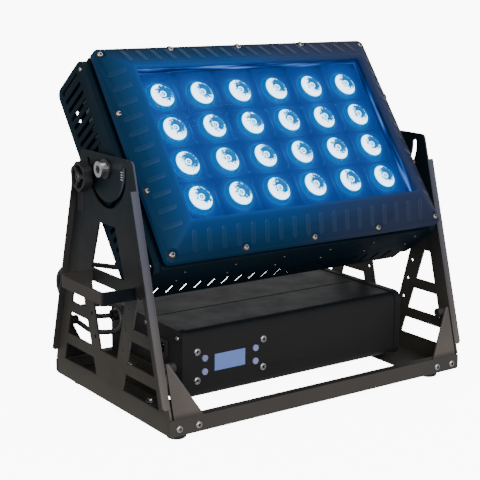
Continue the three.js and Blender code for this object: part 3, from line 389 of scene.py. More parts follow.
def moulded(name, color, rough, grain=700, depth=0.00004):
    """Moulded plastic or rubber with a fine mould texture and slight colour variation."""
    material, tree, shader = new_material(name)
    tone = ramp(tree, noise(tree, 40, 4), [(0.3, scaled(color, 0.8)), (0.7, scaled(color, 1.2))])
    link(tree, tone, "Color", shader, "Base Color")
    cloudy_gloss(tree, shader, 120, 3, rough - 0.05, rough + 0.08)
    bump(tree, shader, noise(tree, grain, 2), 0.4, depth)
    return material


def lens_light():
    """Lit collimator lens: a bright crescent on the low left, cyan inside, the chip in the middle.
    The UV map holds each lens's own coordinates, -1 to 1 across its rim."""
    material, tree, shader = new_material("lens_light", {
        "Base Color": (0.0, 0.01, 0.03, 1), "Roughness": 0.12, "Specular IOR Level": 0.05,
        "Emission Strength": 1})
    uv = tree.nodes.new("ShaderNodeUVMap")

    def round_from(place):
        shift = vector_node(tree, "SUBTRACT", uv, "UV", (*place, 0))
        return vector_node(tree, "LENGTH", shift, "Vector")

    wobble = math_node(tree, "MULTIPLY_ADD", noise(tree, 330, 5, 0.75), "Fac", FACET_SHARE)
    link(tree, round_from(CRESCENT_FROM), "Value", wobble, 2)
    past = math_node(tree, "SUBTRACT", wobble, "Value", CRESCENT_OFFSET)
    crescent = ramp(tree, past, [(0.46, grey(0)), (0.6, grey(1))], "Value")
    disc = ramp(tree, round_from(DISC_FROM), [(0.8, grey(1)), (0.88, grey(0))], "Value")
    ring = ramp(tree, round_from(RING_FROM), [(0.13, grey(0)), (0.17, grey(0.9)),
                                              (0.2, grey(0.9)), (0.25, grey(0))], "Value")
    spot = ramp(tree, round_from(SPOT_FROM), [(0.03, grey(1)), (0.07, grey(0))], "Value")
    bright = math_node(tree, "MAXIMUM", crescent, "Color", second=ring, second_output="Color")
    bright = math_node(tree, "MAXIMUM", bright, "Value", second=spot, second_output="Color")
    lit = math_node(tree, "MULTIPLY", bright, "Value", second=disc, second_output="Color")
    white = ramp(tree, lit, [(0.0, grey(0)), (0.45, (0.1, 0.7, 0.8)), (0.9, grey(1))], "Value")
    glare = vector_node(tree, "SCALE", white, "Color")
    glare.inputs["Scale"].default_value = LENS_GLARE
    base = ramp(tree, disc, [(0.0, (0.0, 0.14, 0.5)), (1.0, (0.0, 0.2, 0.62))], "Color")
    total = color_mix(tree, "ADD")
    total.inputs["Factor"].default_value = 1
    link(tree, base, "Color", total, "A")
    link(tree, glare, "Vector", total, "B")
    link(tree, total, "Result", shader, "Emission Color")
    return material


def lit_panel():
    """Black lens plate under the lamps' own blue light, with a halo round each lens.
    The length of the UV map is the distance from the nearest lens."""
    material, tree, shader = new_material("lit_panel", {
        "Base Color": PANEL_BASE, "Roughness": 0.5, "Specular IOR Level": 0.1,
        "Emission Strength": 1})
    uv = tree.nodes.new("ShaderNodeUVMap")
    halo = ramp(tree, vector_node(tree, "LENGTH", uv, "UV"), PANEL_HALO, "Value")
    mottle = ramp(tree, noise(tree, 22, 3), [(0.3, grey(0.82)), (0.7, grey(1.1))])
    mixed = color_mix(tree, "MULTIPLY")
    mixed.inputs["Factor"].default_value = 1
    link(tree, halo, "Color", mixed, "A")
    link(tree, mottle, "Color", mixed, "B")
    link(tree, mixed, "Result", shader, "Emission Color")
    return material


def clear_glass():
    """Front glass with a faint smear. Its low index hardly shifts the lenses behind it."""
    material, tree, shader = new_material("clear_glass", {
        "Base Color": (0.82, 0.92, 1.0, 1), "Transmission Weight": 1, "IOR": 1.06})
    smear = ramp(tree, noise(tree, 14, 4), [(0.4, grey(0.0)), (0.75, grey(0.008))])
    link(tree, smear, "Color", shader, "Roughness")
    return material


def display_face():
    """Pale blue display with a soft glow and a fine grain."""
    material, tree, shader = new_material("display_face", {"Emission Strength": 0.25})
    tone = ramp(tree, noise(tree, 900, 1), [(0.3, (0.11, 0.17, 0.46)), (0.7, (0.15, 0.22, 0.54))])
    link(tree, tone, "Color", shader, "Base Color")
    link(tree, tone, "Color", shader, "Emission Color")
    cloudy_gloss(tree, shader, 60, 3, 0.12, 0.22)
    return material


def circuit():
    """Green circuit board with a fine pattern of paler lines."""
    material, tree, shader = new_material("circuit")
    coords = tree.nodes.new("ShaderNodeTexCoord")
    brick = tree.nodes.new("ShaderNodeTexBrick")
    set_values(brick, {"Scale": 160, "Color1": (0.01, 0.07, 0.03, 1),
                       "Color2": (0.015, 0.1, 0.045, 1), "Mortar": (0.05, 0.16, 0.07, 1)})
    link(tree, coords, "Object", brick, "Vector")
    link(tree, brick, "Color", shader, "Base Color")
    cloudy_gloss(tree, shader, 90, 3, 0.3, 0.42)
    return material


MAT = {
    "frame": shaded_coat("frame_coat_painted_light", FRAME_COAT, FRAME_SIDE_PAINTED_LIGHT, FRAME_FRONT_PAINTED_LIGHT),
    "handle": shaded_coat("handle_coat_painted_light", FRAME_COAT, HANDLE_SIDE_PAINTED_LIGHT, HANDLE_FRONT_PAINTED_SHADE),
    "head": powder_coat("head_coat", **HEAD_COAT),
    "bezel": lit_coat("bezel_coat", HEAD_COAT),
    "rib": lit_coat("rib_coat_painted_highlight", RIB_HIGHLIGHT_COAT),
    "box": shaded_coat("box_anodised_painted_shade", BOX_COAT, top=BOX_TOP_PAINTED_SHADE),
    "steel": brushed("turned_steel", (0.62, 0.62, 0.64)),
    "dull": brushed("blackened_steel", (0.12, 0.12, 0.125), 0.35),
    "aluminium": brushed("mill_aluminium", (0.5, 0.51, 0.53), 0.35),
    "rubber": moulded("black_rubber", (0.014, 0.014, 0.014), 0.75, 900, 0.00008),
    "jacket": moulded("cable_jacket", (0.016, 0.016, 0.017), 0.42, 1500, 0.00003),
    "plastic": moulded("black_plastic", (0.016, 0.016, 0.018), 0.5),
    "knob": moulded("knob_plastic", (0.0035, 0.005, 0.0065), 0.62),
    "button": moulded("button_plastic", (0.26, 0.28, 0.52), 0.45),
    "mark": moulded("scale_mark", (0.6, 0.6, 0.6), 0.6),
    # Black for painted shade: socket floors, screw pockets, vent strips and the left plate's slot
    "dark": moulded("painted_shade_black", (0.004, 0.004, 0.004), 0.8),
    "glass": clear_glass(),
    "lens": lens_light(),
    "panel": lit_panel(),
    "wall": wall_light(),
    "display": display_face(),
    "circuit": circuit(),
}


# Mesh helpers

PIECE_SHARP = math.radians(38)
WELD = 1e-7


def new_object(name, data):
    obj = bpy.data.objects.new(name, data)
    bpy.context.scene.collection.objects.link(obj)
    return obj


def piece(name, bm, material, body, smooth=True):
    """Finishes a bmesh as a piece that rides on a body."""
    bmesh.ops.remove_doubles(bm, verts=bm.verts, dist=WELD)
    bmesh.ops.recalc_face_normals(bm, faces=bm.faces)
    mesh = bpy.data.meshes.new(name)
    bm.to_mesh(mesh)
    bm.free()
    mesh.materials.append(MAT[material])
    if smooth:
        mesh.shade_smooth()
        mesh.set_sharp_from_angle(angle=PIECE_SHARP)
    obj = new_object(name, mesh)
    if body:
        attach(obj, body)
    return obj


def circle(count, shift=0):
    """Angles of evenly spread points round a circle."""
    return [2 * math.pi * (i + shift) / count for i in range(count)]


def basis(axis):
    """Two unit vectors square to an axis."""
    helper = UP if abs(axis.z) < 0.9 else Vector((1, 0, 0))
    side = axis.cross(helper).normalized()
    return side, axis.cross(side).normalized()


def outer_end(node, s):
    """Middle of a node's box on its left (-1) or right (1) face."""
    low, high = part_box(node)
    return Vector((low.x if s < 0 else high.x, (low.y + high.y) / 2, (low.z + high.z) / 2))


def add_rings(bm, rings):
    """Skins closed rings of points, all of one length, and closes both ends."""
    made = [[bm.verts.new(p) for p in ring] for ring in rings]
    count = len(made[0])
    for low, high in zip(made, made[1:]):
        for i in range(count):
            j = (i + 1) % count
            bm.faces.new((low[i], low[j], high[j], high[i]))
    bm.faces.new(list(reversed(made[0])))
    bm.faces.new(made[-1])


def add_turned(bm, centre, axis, profile, segments=24):
    """Turned piece: profile is (radius, distance along the axis) in millimetres."""
    side, up = basis(axis)
    rings = []
    for radius, along in profile:
        middle = centre + axis * along * MM
        rings.append([middle + (side * math.cos(a) + up * math.sin(a)) * radius * MM
                      for a in circle(segments)])
    add_rings(bm, rings)


# Screw head: its rings as shares of its radius and height, its foot in the surface, and the
# hexagon socket's width, floor, tip and turn
SCREW_PROFILE = ((1, 0.25), (0.93, 0.6), (0.8, 0.86), (0.66, 1))
SCREW_FOOT = (0.98, -0.6)
SCREW_SEGMENTS = 24
SOCKET_SIDES = 6
SOCKET_SHARE = 0.52
SOCKET_FLOOR = 0.25
SOCKET_TIP = (0.5, 0.15)
SOCKET_TURN = 0.3


def add_screw(bm, centre, axis, radius, height, socket=SOCKET_SHARE):
    """Button-head screw with a hexagon socket."""
    side, up = basis(axis)
    flat = math.pi / SOCKET_SIDES

    def ring(r, along, hexagon=False):
        points = []
        for angle in circle(SCREW_SEGMENTS):
            size = r
            if hexagon:
                turn = (angle + SOCKET_TURN) % (2 * flat) - flat
                size = r * math.cos(flat) / math.cos(turn)
            spoke = side * math.cos(angle) + up * math.sin(angle)
            points.append(centre + axis * along * MM + spoke * size * MM)
        return points

    hole = radius * socket
    rings = [ring(radius * SCREW_FOOT[0], SCREW_FOOT[1])]
    rings += [ring(radius * wide, height * high) for wide, high in SCREW_PROFILE]
    rings += [ring(hole, height, True), ring(hole, SOCKET_FLOOR * height, True),
              ring(hole * SOCKET_TIP[0], SOCKET_TIP[1] * height, True)]
    add_rings(bm, rings)


# Dark floor of painted shade in a socket: its width as a share of the socket's, its lower and
# upper edge as shares of its own radius, its foot and top as shares of the screw's height, and how
# deep it is sunk
FLOOR_WIDTH = 0.84
FLOOR_LOWER = 0.6
FLOOR_UPPER = 0.5
FLOOR_FOOT = 0.3
FLOOR_TOP = 0.36
FLOOR_SUNK = 0.2
FLOOR_SEGMENTS = 12

# Radius and height of each screw's head, in millimetres
SCREW_SIZES = {
    "bezel": (4.1, 3.2), "body": (2.3, 1.2), "cover": (2.8, 1.6), "bar": (4.85, 2.8),
    "foot": (3.8, 2.2), "bracket_bolt": (4.8, 4.0), "bracket_screw": (4.2, 3.0),
    "display": (5.3, 2.6), "cap": (3.4, 2.0),
}


def screws(name, places, size, body, material="steel"):
    """Screws as one piece, with painted shade on the floors of their sockets as a second, dark
    one.
    """
    radius, height = SCREW_SIZES[size]
    hole = radius * SOCKET_SHARE * FLOOR_WIDTH
    low, top = FLOOR_FOOT * height, FLOOR_TOP * height
    profile = [(hole * FLOOR_LOWER, low - FLOOR_SUNK), (hole, low), (hole * FLOOR_UPPER, top)]
    bm = bmesh.new()
    shade_discs = bmesh.new()
    for centre, axis in places:
        add_screw(bm, centre, axis, radius, height)
        add_turned(shade_discs, centre, axis, profile, FLOOR_SEGMENTS)
    piece(f"{name}_sockets", shade_discs, "dark", body)
    piece(name, bm, material, body)


# Raised pad: how far it reaches into the surface, its rings' inset and level as shares of its
# height, and the steps of each round end
PAD_SUNK = 1.0
PAD_PROFILE = ((0, 0.45), (0.35, 0.85), (0.9, 1))
PAD_STEPS = 8


def add_pad(bm, centre, along, across, out, length, width, height):
    """Raised pad with round ends and a softened top, lying on a surface."""
    half = length / 2 - width / 2

    def outline(inset, level):
        r = width / 2 - inset
        points = []
        for end in (1, -1):
            for i in range(PAD_STEPS + 1):
                angle = -math.pi / 2 + math.pi * i / PAD_STEPS
                a = end * (half + r * math.cos(angle))
                b = end * r * math.sin(angle)
                points.append(centre + (along * a + across * b + out * level) * MM)
        return points

    rings = [outline(0, -PAD_SUNK)]
    rings += [outline(height * inset, height * level) for inset, level in PAD_PROFILE]
    add_rings(bm, rings)


def add_box(bm, low, high, edge):
    """Box between two corners in metres, its edges rounded by so many millimetres."""
    made = bmesh.ops.create_cube(bm, size=1)
    size = high - low
    middle = (high + low) / 2
    for vert in made["verts"]:
        vert.co = Vector((vert.co.x * size.x, vert.co.y * size.y, vert.co.z * size.z)) + middle
    edges = list({e for v in made["verts"] for e in v.link_edges})
    bmesh.ops.bevel(bm, geom=edges, offset=edge * MM, segments=2, affect="EDGES", profile=0.5)


# Bezel: raised ribs on the sloping bands and screws in their pockets

# Side, number of ribs, pitch and length of each rib
RIB_ROWS = (("top", 18, 22.6, 30), ("bottom", 18, 22.6, 30),
            ("left", 11, 22.5, 27), ("right", 11, 22.5, 27))
RIB_WIDTH = 7.5
RIB_HEIGHT = 1.3

# Places of the screws across and up the face: top and bottom, corners, sides
LONG_SCREW_PITCH = 113
LONG_SCREW_V = 151.5
CORNER_SCREW_X = 223.74
CORNER_SCREW_V = 147.25
SIDE_SCREW_X = 227
SIDE_SCREW_V = 57
# Dark disc of painted shade in each screw pocket
POCKET_SHADE_PROFILE = [(6.2, -0.3), (6.4, 0.1), (6.1, 0.25), (3.0, 0.3)]


def band(side):
    """Middle, run down the slope, run along the band and outward normal of one sloping band."""
    inner_x, inner_v = OPEN_WIDTH / 2 + RIM_FLAT, OPEN_HEIGHT / 2 + RIM_FLAT
    outer_x, outer_v = BEZEL_WIDTH / 2, BEZEL_HEIGHT / 2
    sign = 1 if side in ("top", "right") else -1
    if side in ("top", "bottom"):
        start = Vector((0, BEZEL_RIM_N, sign * inner_v))
        end = Vector((0, BEZEL_EDGE_N, sign * outer_v))
        run = Vector((1, 0, 0))
    else:
        start = Vector((sign * inner_x, BEZEL_RIM_N, 0))
        end = Vector((sign * outer_x, BEZEL_EDGE_N, 0))
        run = Vector((0, 0, 1))
    down = (end - start).normalized()
    normal = down.cross(run)
    if normal.y < 0:
        normal = -normal
    return (start + end) / 2, down, run, normal


def bezel_ribs():
    """Rows of raised ribs on the four sloping bands."""
    bm = bmesh.new()
    for side, count, pitch, length in RIB_ROWS:
        middle, down, run, normal = band(side)
        for i in range(count):
            centre = middle + run * (i - (count - 1) / 2) * pitch
            add_pad(bm, on_head(*centre), head_dir(*down), head_dir(*run), head_dir(*normal),
                    length, RIB_WIDTH, RIB_HEIGHT)
    piece("bezel_ribs", bm, "rib", "lamp_head")


def bezel_screws():
    """Five screws along the top and bottom and two on each side, with dark discs of painted shade
    in their pockets.
    """
    rows = [(CORNER_SCREW_X * i, CORNER_SCREW_V * k) for i in (-1, 1) for k in (-1, 1)]
    rows += [(LONG_SCREW_PITCH * i, LONG_SCREW_V * k) for i in (-1, 0, 1) for k in (-1, 1)]
    rows += [(SIDE_SCREW_X * i, SIDE_SCREW_V * k) for i in (-1, 1) for k in (-1, 1)]
    forward = head_dir(0, 1, 0)
    places = [(on_head(x, POCKET_FLOOR_N, v), forward) for x, v in rows]
    screws("bezel_screws", places, "bezel", "lamp_head")
    bm = bmesh.new()
    for centre, axis in places:
        add_turned(bm, centre, axis, POCKET_SHADE_PROFILE)
    piece("bezel_pocket_shade", bm, "dark", "lamp_head", smooth=False)


# Lenses and the plate round them

LENS_SEGMENTS = 40
LENS_FOOT = [(LENS_RADIUS - 1, 33.5), (LENS_RADIUS, 38)]
DOME_N = 41.2
DOME_HEIGHT = 6
DOME_STEPS = 7

PLATE_FRONT_N = 41
PLATE_BACK_N = 39
PLATE_HALF_X = 208.5
PLATE_HALF_V = 125
HOLE_RADIUS = LENS_RADIUS + 0.8
HOLE_SEGMENTS = 32
INNER_RING = 0.55    # from the edge of a cell (0) to its hole (1)
HOLE_WELD = 1e-6
HALO_WIDTH = 28

# Frame behind the bezel's rim: its gap to the opening's edge, thickness, foot and top
WALL_GAP = 0.3
WALL_THICK = 1.4
WALL_FOOT_N = 41.2
WALL_TOP_N = 54.5

FROM_HEAD = HEAD.inverted()
LENS_UV = "UVMap"


def lens_centre(row, column):
    """Place of a lens across and up the face."""
    x = (column - (LENS_COLUMNS - 1) / 2) * LENS_PITCH_X
    v = ((LENS_ROWS - 1) / 2 - row) * LENS_PITCH_V
    return x, v


def lens_piece(row):
    """The domes of one row. Their UV map holds each lens's own coordinates."""
    bm = bmesh.new()
    layer = bm.loops.layers.uv.new(LENS_UV)
    profile = list(LENS_FOOT)
    for i in range(DOME_STEPS):
        angle = i / DOME_STEPS * math.pi / 2
        profile.append((LENS_RADIUS * math.cos(angle), DOME_N + DOME_HEIGHT * math.sin(angle)))
    for column in range(LENS_COLUMNS):
        x0, v0 = lens_centre(row, column)
        rings = [[bm.verts.new(on_head(x0 + r * math.cos(a), n, v0 + r * math.sin(a)))
                  for a in circle(LENS_SEGMENTS)] for r, n in profile]
        tip = bm.verts.new(on_head(x0, DOME_N + DOME_HEIGHT, v0))
        faces = [bm.faces.new(list(reversed(rings[0])))]
        for i in range(LENS_SEGMENTS):
            j = (i + 1) % LENS_SEGMENTS
            for low, high in zip(rings, rings[1:]):
                faces.append(bm.faces.new((low[i], low[j], high[j], high[i])))
            faces.append(bm.faces.new((rings[-1][i], rings[-1][j], tip)))
        for face in faces:
            for loop in face.loops:
                local = FROM_HEAD @ loop.vert.co / MM
                loop[layer].uv = ((local.x - x0) / LENS_RADIUS, (local.z - v0) / LENS_RADIUS)
    obj = piece(f"lens_domes_{row + 1}", bm, "lens", "lamp_head")
    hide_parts(f"lens_row_{row + 1}")


def halo_place(local):
    """UV of a place on the lens plate: how far it is from the nearest lens, in halo widths."""
    column = round(local.x / LENS_PITCH_X + (LENS_COLUMNS - 1) / 2)
    row = round((LENS_ROWS - 1) / 2 - local.z / LENS_PITCH_V)
    x0, v0 = lens_centre(min(LENS_ROWS - 1, max(0, row)), min(LENS_COLUMNS - 1, max(0, column)))
    dx, dv = local.x - x0, local.z - v0
    far = math.hypot(dx, dv)
    share = max(0, far - HOLE_RADIUS) / HALO_WIDTH
    return (share * dx / max(far, TINY), share * dv / max(far, TINY))


def add_cell(bm, x0, x1, v0, v1, cx, cv):
    """A rectangle of the lens plate with a round hole."""
    hole, outer = [], []
    for angle in circle(HOLE_SEGMENTS, 0.5):
        c, s = math.cos(angle), math.sin(angle)
        hole.append((cx + HOLE_RADIUS * c, cv + HOLE_RADIUS * s))
        reach = min((x1 - cx if c > 0 else cx - x0) / max(abs(c), TINY),
                    (v1 - cv if s > 0 else cv - v0) / max(abs(s), TINY))
        outer.append((cx + reach * c, cv + reach * s))
    middle = [(a[0] + (b[0] - a[0]) * INNER_RING, a[1] + (b[1] - a[1]) * INNER_RING)
              for a, b in zip(outer, hole)]
    rings = [[bm.verts.new(on_head(x, PLATE_FRONT_N, v)) for x, v in ring]
             for ring in (hole, middle, outer)]
    for low, high in zip(rings, rings[1:]):
        for i in range(HOLE_SEGMENTS):
            j = (i + 1) % HOLE_SEGMENTS
            bm.faces.new((low[i], low[j], high[j], high[i]))
    for x, v in ((x1, v1), (x0, v1), (x0, v0), (x1, v0)):
        aim = math.atan2(v - cv, x - cx)
        turns = [abs(math.remainder(a - aim, 2 * math.pi)) for a in circle(HOLE_SEGMENTS, 1)]
        i = turns.index(min(turns))
        corner = bm.verts.new(on_head(x, PLATE_FRONT_N, v))
        bm.faces.new((rings[2][i], rings[2][(i + 1) % HOLE_SEGMENTS], corner))


def lens_panel():
    """Plate with a hole for each lens, and the distance from the nearest lens as its UV map."""
    bm = bmesh.new()
    layer = bm.loops.layers.uv.new(LENS_UV)
    for row in range(LENS_ROWS):
        for column in range(LENS_COLUMNS):
            cx, cv = lens_centre(row, column)
            x0 = -PLATE_HALF_X if column == 0 else cx - LENS_PITCH_X / 2
            x1 = PLATE_HALF_X if column == LENS_COLUMNS - 1 else cx + LENS_PITCH_X / 2
            v0 = -PLATE_HALF_V if row == LENS_ROWS - 1 else cv - LENS_PITCH_V / 2
            v1 = PLATE_HALF_V if row == 0 else cv + LENS_PITCH_V / 2
            add_cell(bm, x0, x1, v0, v1, cx, cv)
    for face in bm.faces:
        for loop in face.loops:
            loop[layer].uv = halo_place(FROM_HEAD @ loop.vert.co / MM)
    bmesh.ops.remove_doubles(bm, verts=bm.verts, dist=HOLE_WELD)
    made = bmesh.ops.extrude_face_region(bm, geom=list(bm.faces))
    back = [g for g in made["geom"] if isinstance(g, bmesh.types.BMVert)]
    shift = head_dir(0, -1, 0) * (PLATE_FRONT_N - PLATE_BACK_N) * MM
    bmesh.ops.translate(bm, verts=back, vec=shift)
    obj = piece("lens_panel", bm, "panel", "lamp_head")
    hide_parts("lens_plate")


def lens_frame():
    """Thin upright frame between the lens plate and the glass, round the bezel's opening."""
    inner_x, inner_v = OPEN_WIDTH / 2 + WALL_GAP, OPEN_HEIGHT / 2 + WALL_GAP
    bm = bmesh.new()
    rings = []
    for grow, n in ((0, WALL_FOOT_N), (0, WALL_TOP_N),
                    (WALL_THICK, WALL_TOP_N), (WALL_THICK, WALL_FOOT_N)):
        x, v = inner_x + grow, inner_v + grow
        corners = ((-x, -v), (x, -v), (x, v), (-x, v))
        rings.append([bm.verts.new(on_head(a, n, b)) for a, b in corners])
    for low, high in zip(rings, rings[1:] + rings[:1]):
        for i in range(4):
            j = (i + 1) % 4
            bm.faces.new((low[i], low[j], high[j], high[i]))
    piece("lens_frame", bm, "wall", "lamp_head", smooth=False)


# Small fasteners and fittings, in millimetres

BODY_SCREW_FIRST_X = -188
BODY_SCREW_PITCH = 80
BODY_SCREW_COUNT = 6
BODY_SCREW_N = (-2, -28)
COVER_SCREW_N = 8
COVER_SCREW_V = 146

# Dark strips of painted shade behind the covers' last vents: depth inside the cover's face,
# thickness and reach
VENT_SHADE_DEPTH = 3.2
VENT_SHADE_THICK = 0.6
VENT_SHADE_N = (-3, -58)
VENT_SHADE_V = (141.5, 149.8)

BAR_SCREW_X = (236, 207)
BAR_SCREW_Z = 17.5
FOOT_SCREW_X = {"left": 229, "right": 207}
FOOT_SCREW_Y = (-137.5, 112.5)
FOOT_SCREW_Z = 10.5
BRACKET_Y = (-40, 40)
BRACKET_BOLT_X = 209
BRACKET_BOLT_Z = 13.4
BRACKET_SCREW_X = BOX_CAP_X + 2.8
BRACKET_SCREW_Z = 40
WASHER_TOP = 1.4
WASHER_PROFILE = [(6.2, -0.3), (6.4, 0.3), (6.2, 1.2), (5.9, WASHER_TOP), (3.5, WASHER_TOP)]

# Dark disc of painted shade in the socket of each tilt bolt
SOCKET_SHADE_PROFILE = [(3.2, -2.2), (3.3, -1.4), (3.1, -1.2), (1.2, -1.15)]
SPACER_PROFILE = [(5.6, 0.1), (6.5, 0.9), (6.5, 18.4), (5.9, 19.1), (3.2, 19.1), (3.0, 17.0)]
SPACER_Y = (-130, 130)
SPACER_Z = 90
# Black sheet of painted shade on the left plate: its corners and the rounding of its edges
PLATE_SHADE_LOW = (-PLATE_X - 0.5, 62, 259)
PLATE_SHADE_HIGH = (-PLATE_X + 0.3, 80, 288)
PLATE_SHADE_EDGE = 0.2

DISPLAY_SCREW_X = (-167, -59.3)
DISPLAY_SCREW_Z = (88.8, 49.2)
CAP_SCREWS = ((-79, 108), (84, 108), (-79, 35), (84, 35), (0, 111))

MARK_COUNT = 4
MARK_PITCH = 3.2
MARK_Y = (-42.6, -38)
MARK_Z = (317.5, 318.6)
MARK_HALF = 0.04
MARK_EDGE = 0.01

KNOB_NUT = (5.2, 1.6)
KNOB_NUT_SOCKET = 0.45
KNOB_NUT_SUNK = 0.2

# Node, side, number of contacts and radius of their circle
CONTACTS = (("data_socket_in", -1, 5, 4.2), ("data_socket_out", 1, 5, 4.2),
            ("power_inlet", 1, 3, 4.4))
CONTACT_PROFILE = [(0.8, -0.5), (0.8, 4), (0.4, 4.6)]
CONTACT_SEGMENTS = 10
CONTACT_DEPTH = 6.2
CONTACT_TURN = 0.5


def head_fasteners():
    """Small screws above and below the housing, and the screws of the side covers."""
    places = []
    for i in range(BODY_SCREW_COUNT):
        x = BODY_SCREW_FIRST_X + i * BODY_SCREW_PITCH
        for n in BODY_SCREW_N:
            places.append((on_head(x, n, -BODY_V), head_dir(0, 0, -1)))
            places.append((on_head(x, n, BODY_V), head_dir(0, 0, 1)))
    screws("head_body_screws", places, "body", "lamp_head", "dull")
    for name, s in SIDES:
        places = [(on_head(s * COVER_X, COVER_SCREW_N, v), head_dir(s, 0, 0))
                  for v in (COVER_SCREW_V, -COVER_SCREW_V)]
        screws(f"cover_screws_{name}", places, "cover", "lamp_head")


def vent_shade_strips():
    """Dark strips of painted shade inside the side covers, behind the last slot of each row."""
    inside = COVER_X - VENT_SHADE_DEPTH
    near, far = VENT_SHADE_N
    low, high = VENT_SHADE_V
    for name, s in SIDES:
        bm = bmesh.new()
        for side in (-1, 1):
            outline = ((near, low), (far, low), (far, high), (near, high))
            add_rings(bm, [[on_head(s * x, n, side * v) for n, v in outline]
                           for x in (inside, inside - VENT_SHADE_THICK)])
        piece(f"vent_shade_strips_{name}", bm, "dark", "lamp_head", smooth=False)


def stand_fasteners():
    """Screws of the bars and feet, and the bolts, washers and screws of the box's brackets."""
    web = []
    for _, s in SIDES:
        for x in BAR_SCREW_X:
            web.append((at(s * x, -BAR_FRONT, BAR_SCREW_Z), FRONT))
            web.append((at(s * x, BAR_FRONT, BAR_SCREW_Z), BACK))
    screws("bar_screws", web, "bar", "stand")
    for name, s in SIDES:
        feet = [(at(s * FOOT_SCREW_X[name], y, FOOT_SCREW_Z), UP) for y in FOOT_SCREW_Y]
        screws(f"foot_screws_{name}", feet, "foot", "stand")
        bolts = [at(s * BRACKET_BOLT_X, y, BRACKET_BOLT_Z) for y in BRACKET_Y]
        washers = bmesh.new()
        for place in bolts:
            add_turned(washers, place, UP, WASHER_PROFILE)
        piece(f"bracket_washers_{name}", washers, "steel", "stand")
        heads = [(place + UP * WASHER_TOP * MM, UP) for place in bolts]
        screws(f"bracket_bolts_{name}", heads, "bracket_bolt", "stand")
        out = Vector((s, 0, 0))
        sides = [(at(s * BRACKET_SCREW_X, y, BRACKET_SCREW_Z), out) for y in BRACKET_Y]
        screws(f"bracket_screws_{name}", sides, "bracket_screw", "stand")


def box_fasteners():
    """Screws beside the display and in the end caps of the box."""
    places = [(at(x, BOX_FRONT, z), FRONT) for x in DISPLAY_SCREW_X for z in DISPLAY_SCREW_Z]
    screws("panel_screws", places, "display", "stand")
    for name, s in SIDES:
        out = Vector((s, 0, 0))
        places = [(at(s * BOX_CAP_X, y, z), out) for y, z in CAP_SCREWS]
        screws(f"cap_screws_{name}", places, "cap", "stand")


def scale_marks():
    """Tilt marks beside the arc slot of each side plate."""
    for name, s in SIDES:
        bm = bmesh.new()
        for k in range(MARK_COUNT):
            low = at(s * PLATE_X - MARK_HALF, MARK_Y[0], MARK_Z[0] + MARK_PITCH * k)
            high = at(s * PLATE_X + MARK_HALF, MARK_Y[1], MARK_Z[1] + MARK_PITCH * k)
            add_box(bm, low, high, MARK_EDGE)
        piece(f"tilt_marks_{name}", bm, "mark", "stand", smooth=False)


def knob_caps():
    """Steel nut in the hub of each lock knob."""
    for name, s in SIDES:
        out = Vector((s, 0, 0))
        bm = bmesh.new()
        add_screw(bm, outer_end(f"lock_knob_{name}", s) - out * KNOB_NUT_SUNK * MM, out, *KNOB_NUT,
                  KNOB_NUT_SOCKET)
        piece(f"knob_cap_{name}", bm, "dull", f"knob_{name}")


def bolt_socket_shade():
    """Dark floor of painted shade in the hexagon socket of each tilt bolt."""
    for name, s in SIDES:
        bm = bmesh.new()
        end = outer_end(f"pivot_bolt_{name}", s)
        add_turned(bm, end, Vector((s, 0, 0)), SOCKET_SHADE_PROFILE, SOCKET_SIDES)
        piece(f"bolt_socket_shade_{name}", bm, "dark", "lamp_head", smooth=False)


def ear_spacers():
    """Round spacer between each side plate and the tip of a gusset ear."""
    for name, s in SIDES:
        bm = bmesh.new()
        for y in SPACER_Y:
            place = at(s * (PLATE_X - SHEET), y, SPACER_Z)
            add_turned(bm, place, Vector((-s, 0, 0)), SPACER_PROFILE)
        piece(f"ear_spacers_{name}", bm, "plastic", "stand")


def plate_slot_shade():
    """Thin black sheet on the outer face of the left plate, at the rear of its upper part: painted
    shade for the dark slot there.
    """
    bm = bmesh.new()
    add_box(bm, at(*PLATE_SHADE_LOW), at(*PLATE_SHADE_HIGH), PLATE_SHADE_EDGE)
    piece("plate_slot_shade", bm, "dark", "stand", smooth=False)


def socket_details():
    """Contacts in the data sockets and the power inlet."""
    for node, s, count, radius in CONTACTS:
        centre = outer_end(node, s)
        centre.x = at(s * (BOX_CAP_X - CONTACT_DEPTH), 0, 0).x
        bm = bmesh.new()
        for angle in circle(count):
            turn = angle + CONTACT_TURN
            place = centre + Vector((0, math.cos(turn), math.sin(turn))) * radius * MM
            add_turned(bm, place, Vector((s, 0, 0)), CONTACT_PROFILE, CONTACT_SEGMENTS)
        piece(f"{node}_contacts", bm, "steel", "stand")


# Link cable: the same route as the CAD solid, in millimetres

CABLE_ROUTE = [
    (-221.6, 61.9, 110), (-226.5, 67, 109.4), (-228.8, 75, 108.8), (-231, 88, 109.5),
    (-234.5, 102, 112), (-237.5, 118, 116), (-239, 134, 119.5), (-239, 147, 120),
    (-238.3, 157.3, 115.8), (-236.2, 161.8, 106.5), (-233.3, 158.8, 97.5), (-231, 149.5, 92),
    (-229.5, 138, 89.3), (-229, 114, 86.2), (-230, 87, 84.8), (-230, 64, 88),
    (-230, 43.8, 92.8), (-230, 27, 97.5), (-230, 13, 102.3), (-229.5, 3, 109),
    (-228.5, -1, 119.5), (-227.5, 3.6, 129.8), (-226.7, 12.5, 134.8), (-226, 30, 134.8),
    (-226, 52.8, 129.9), (-226, 78.7, 123.2), (-226, 105, 115), (-226, 124, 109),
    (-226, 141, 106.5), (-228, 156, 108), (-231.5, 167, 116.5), (-234.5, 171.5, 131),
    (-236, 167.5, 147), (-236, 157, 158), (-234, 140, 166.5), (-230, 115, 174),
    (-226, 82.5, 179.5), (-222, 52, 183.2), (-220, 37, 184.8),
]
CABLE_START = (-210.6, 60, 110)
CABLE_START_STRAIGHT = 4
CABLE_END = (-219, -98.3, -97)
CABLE_END_STRAIGHT = 5
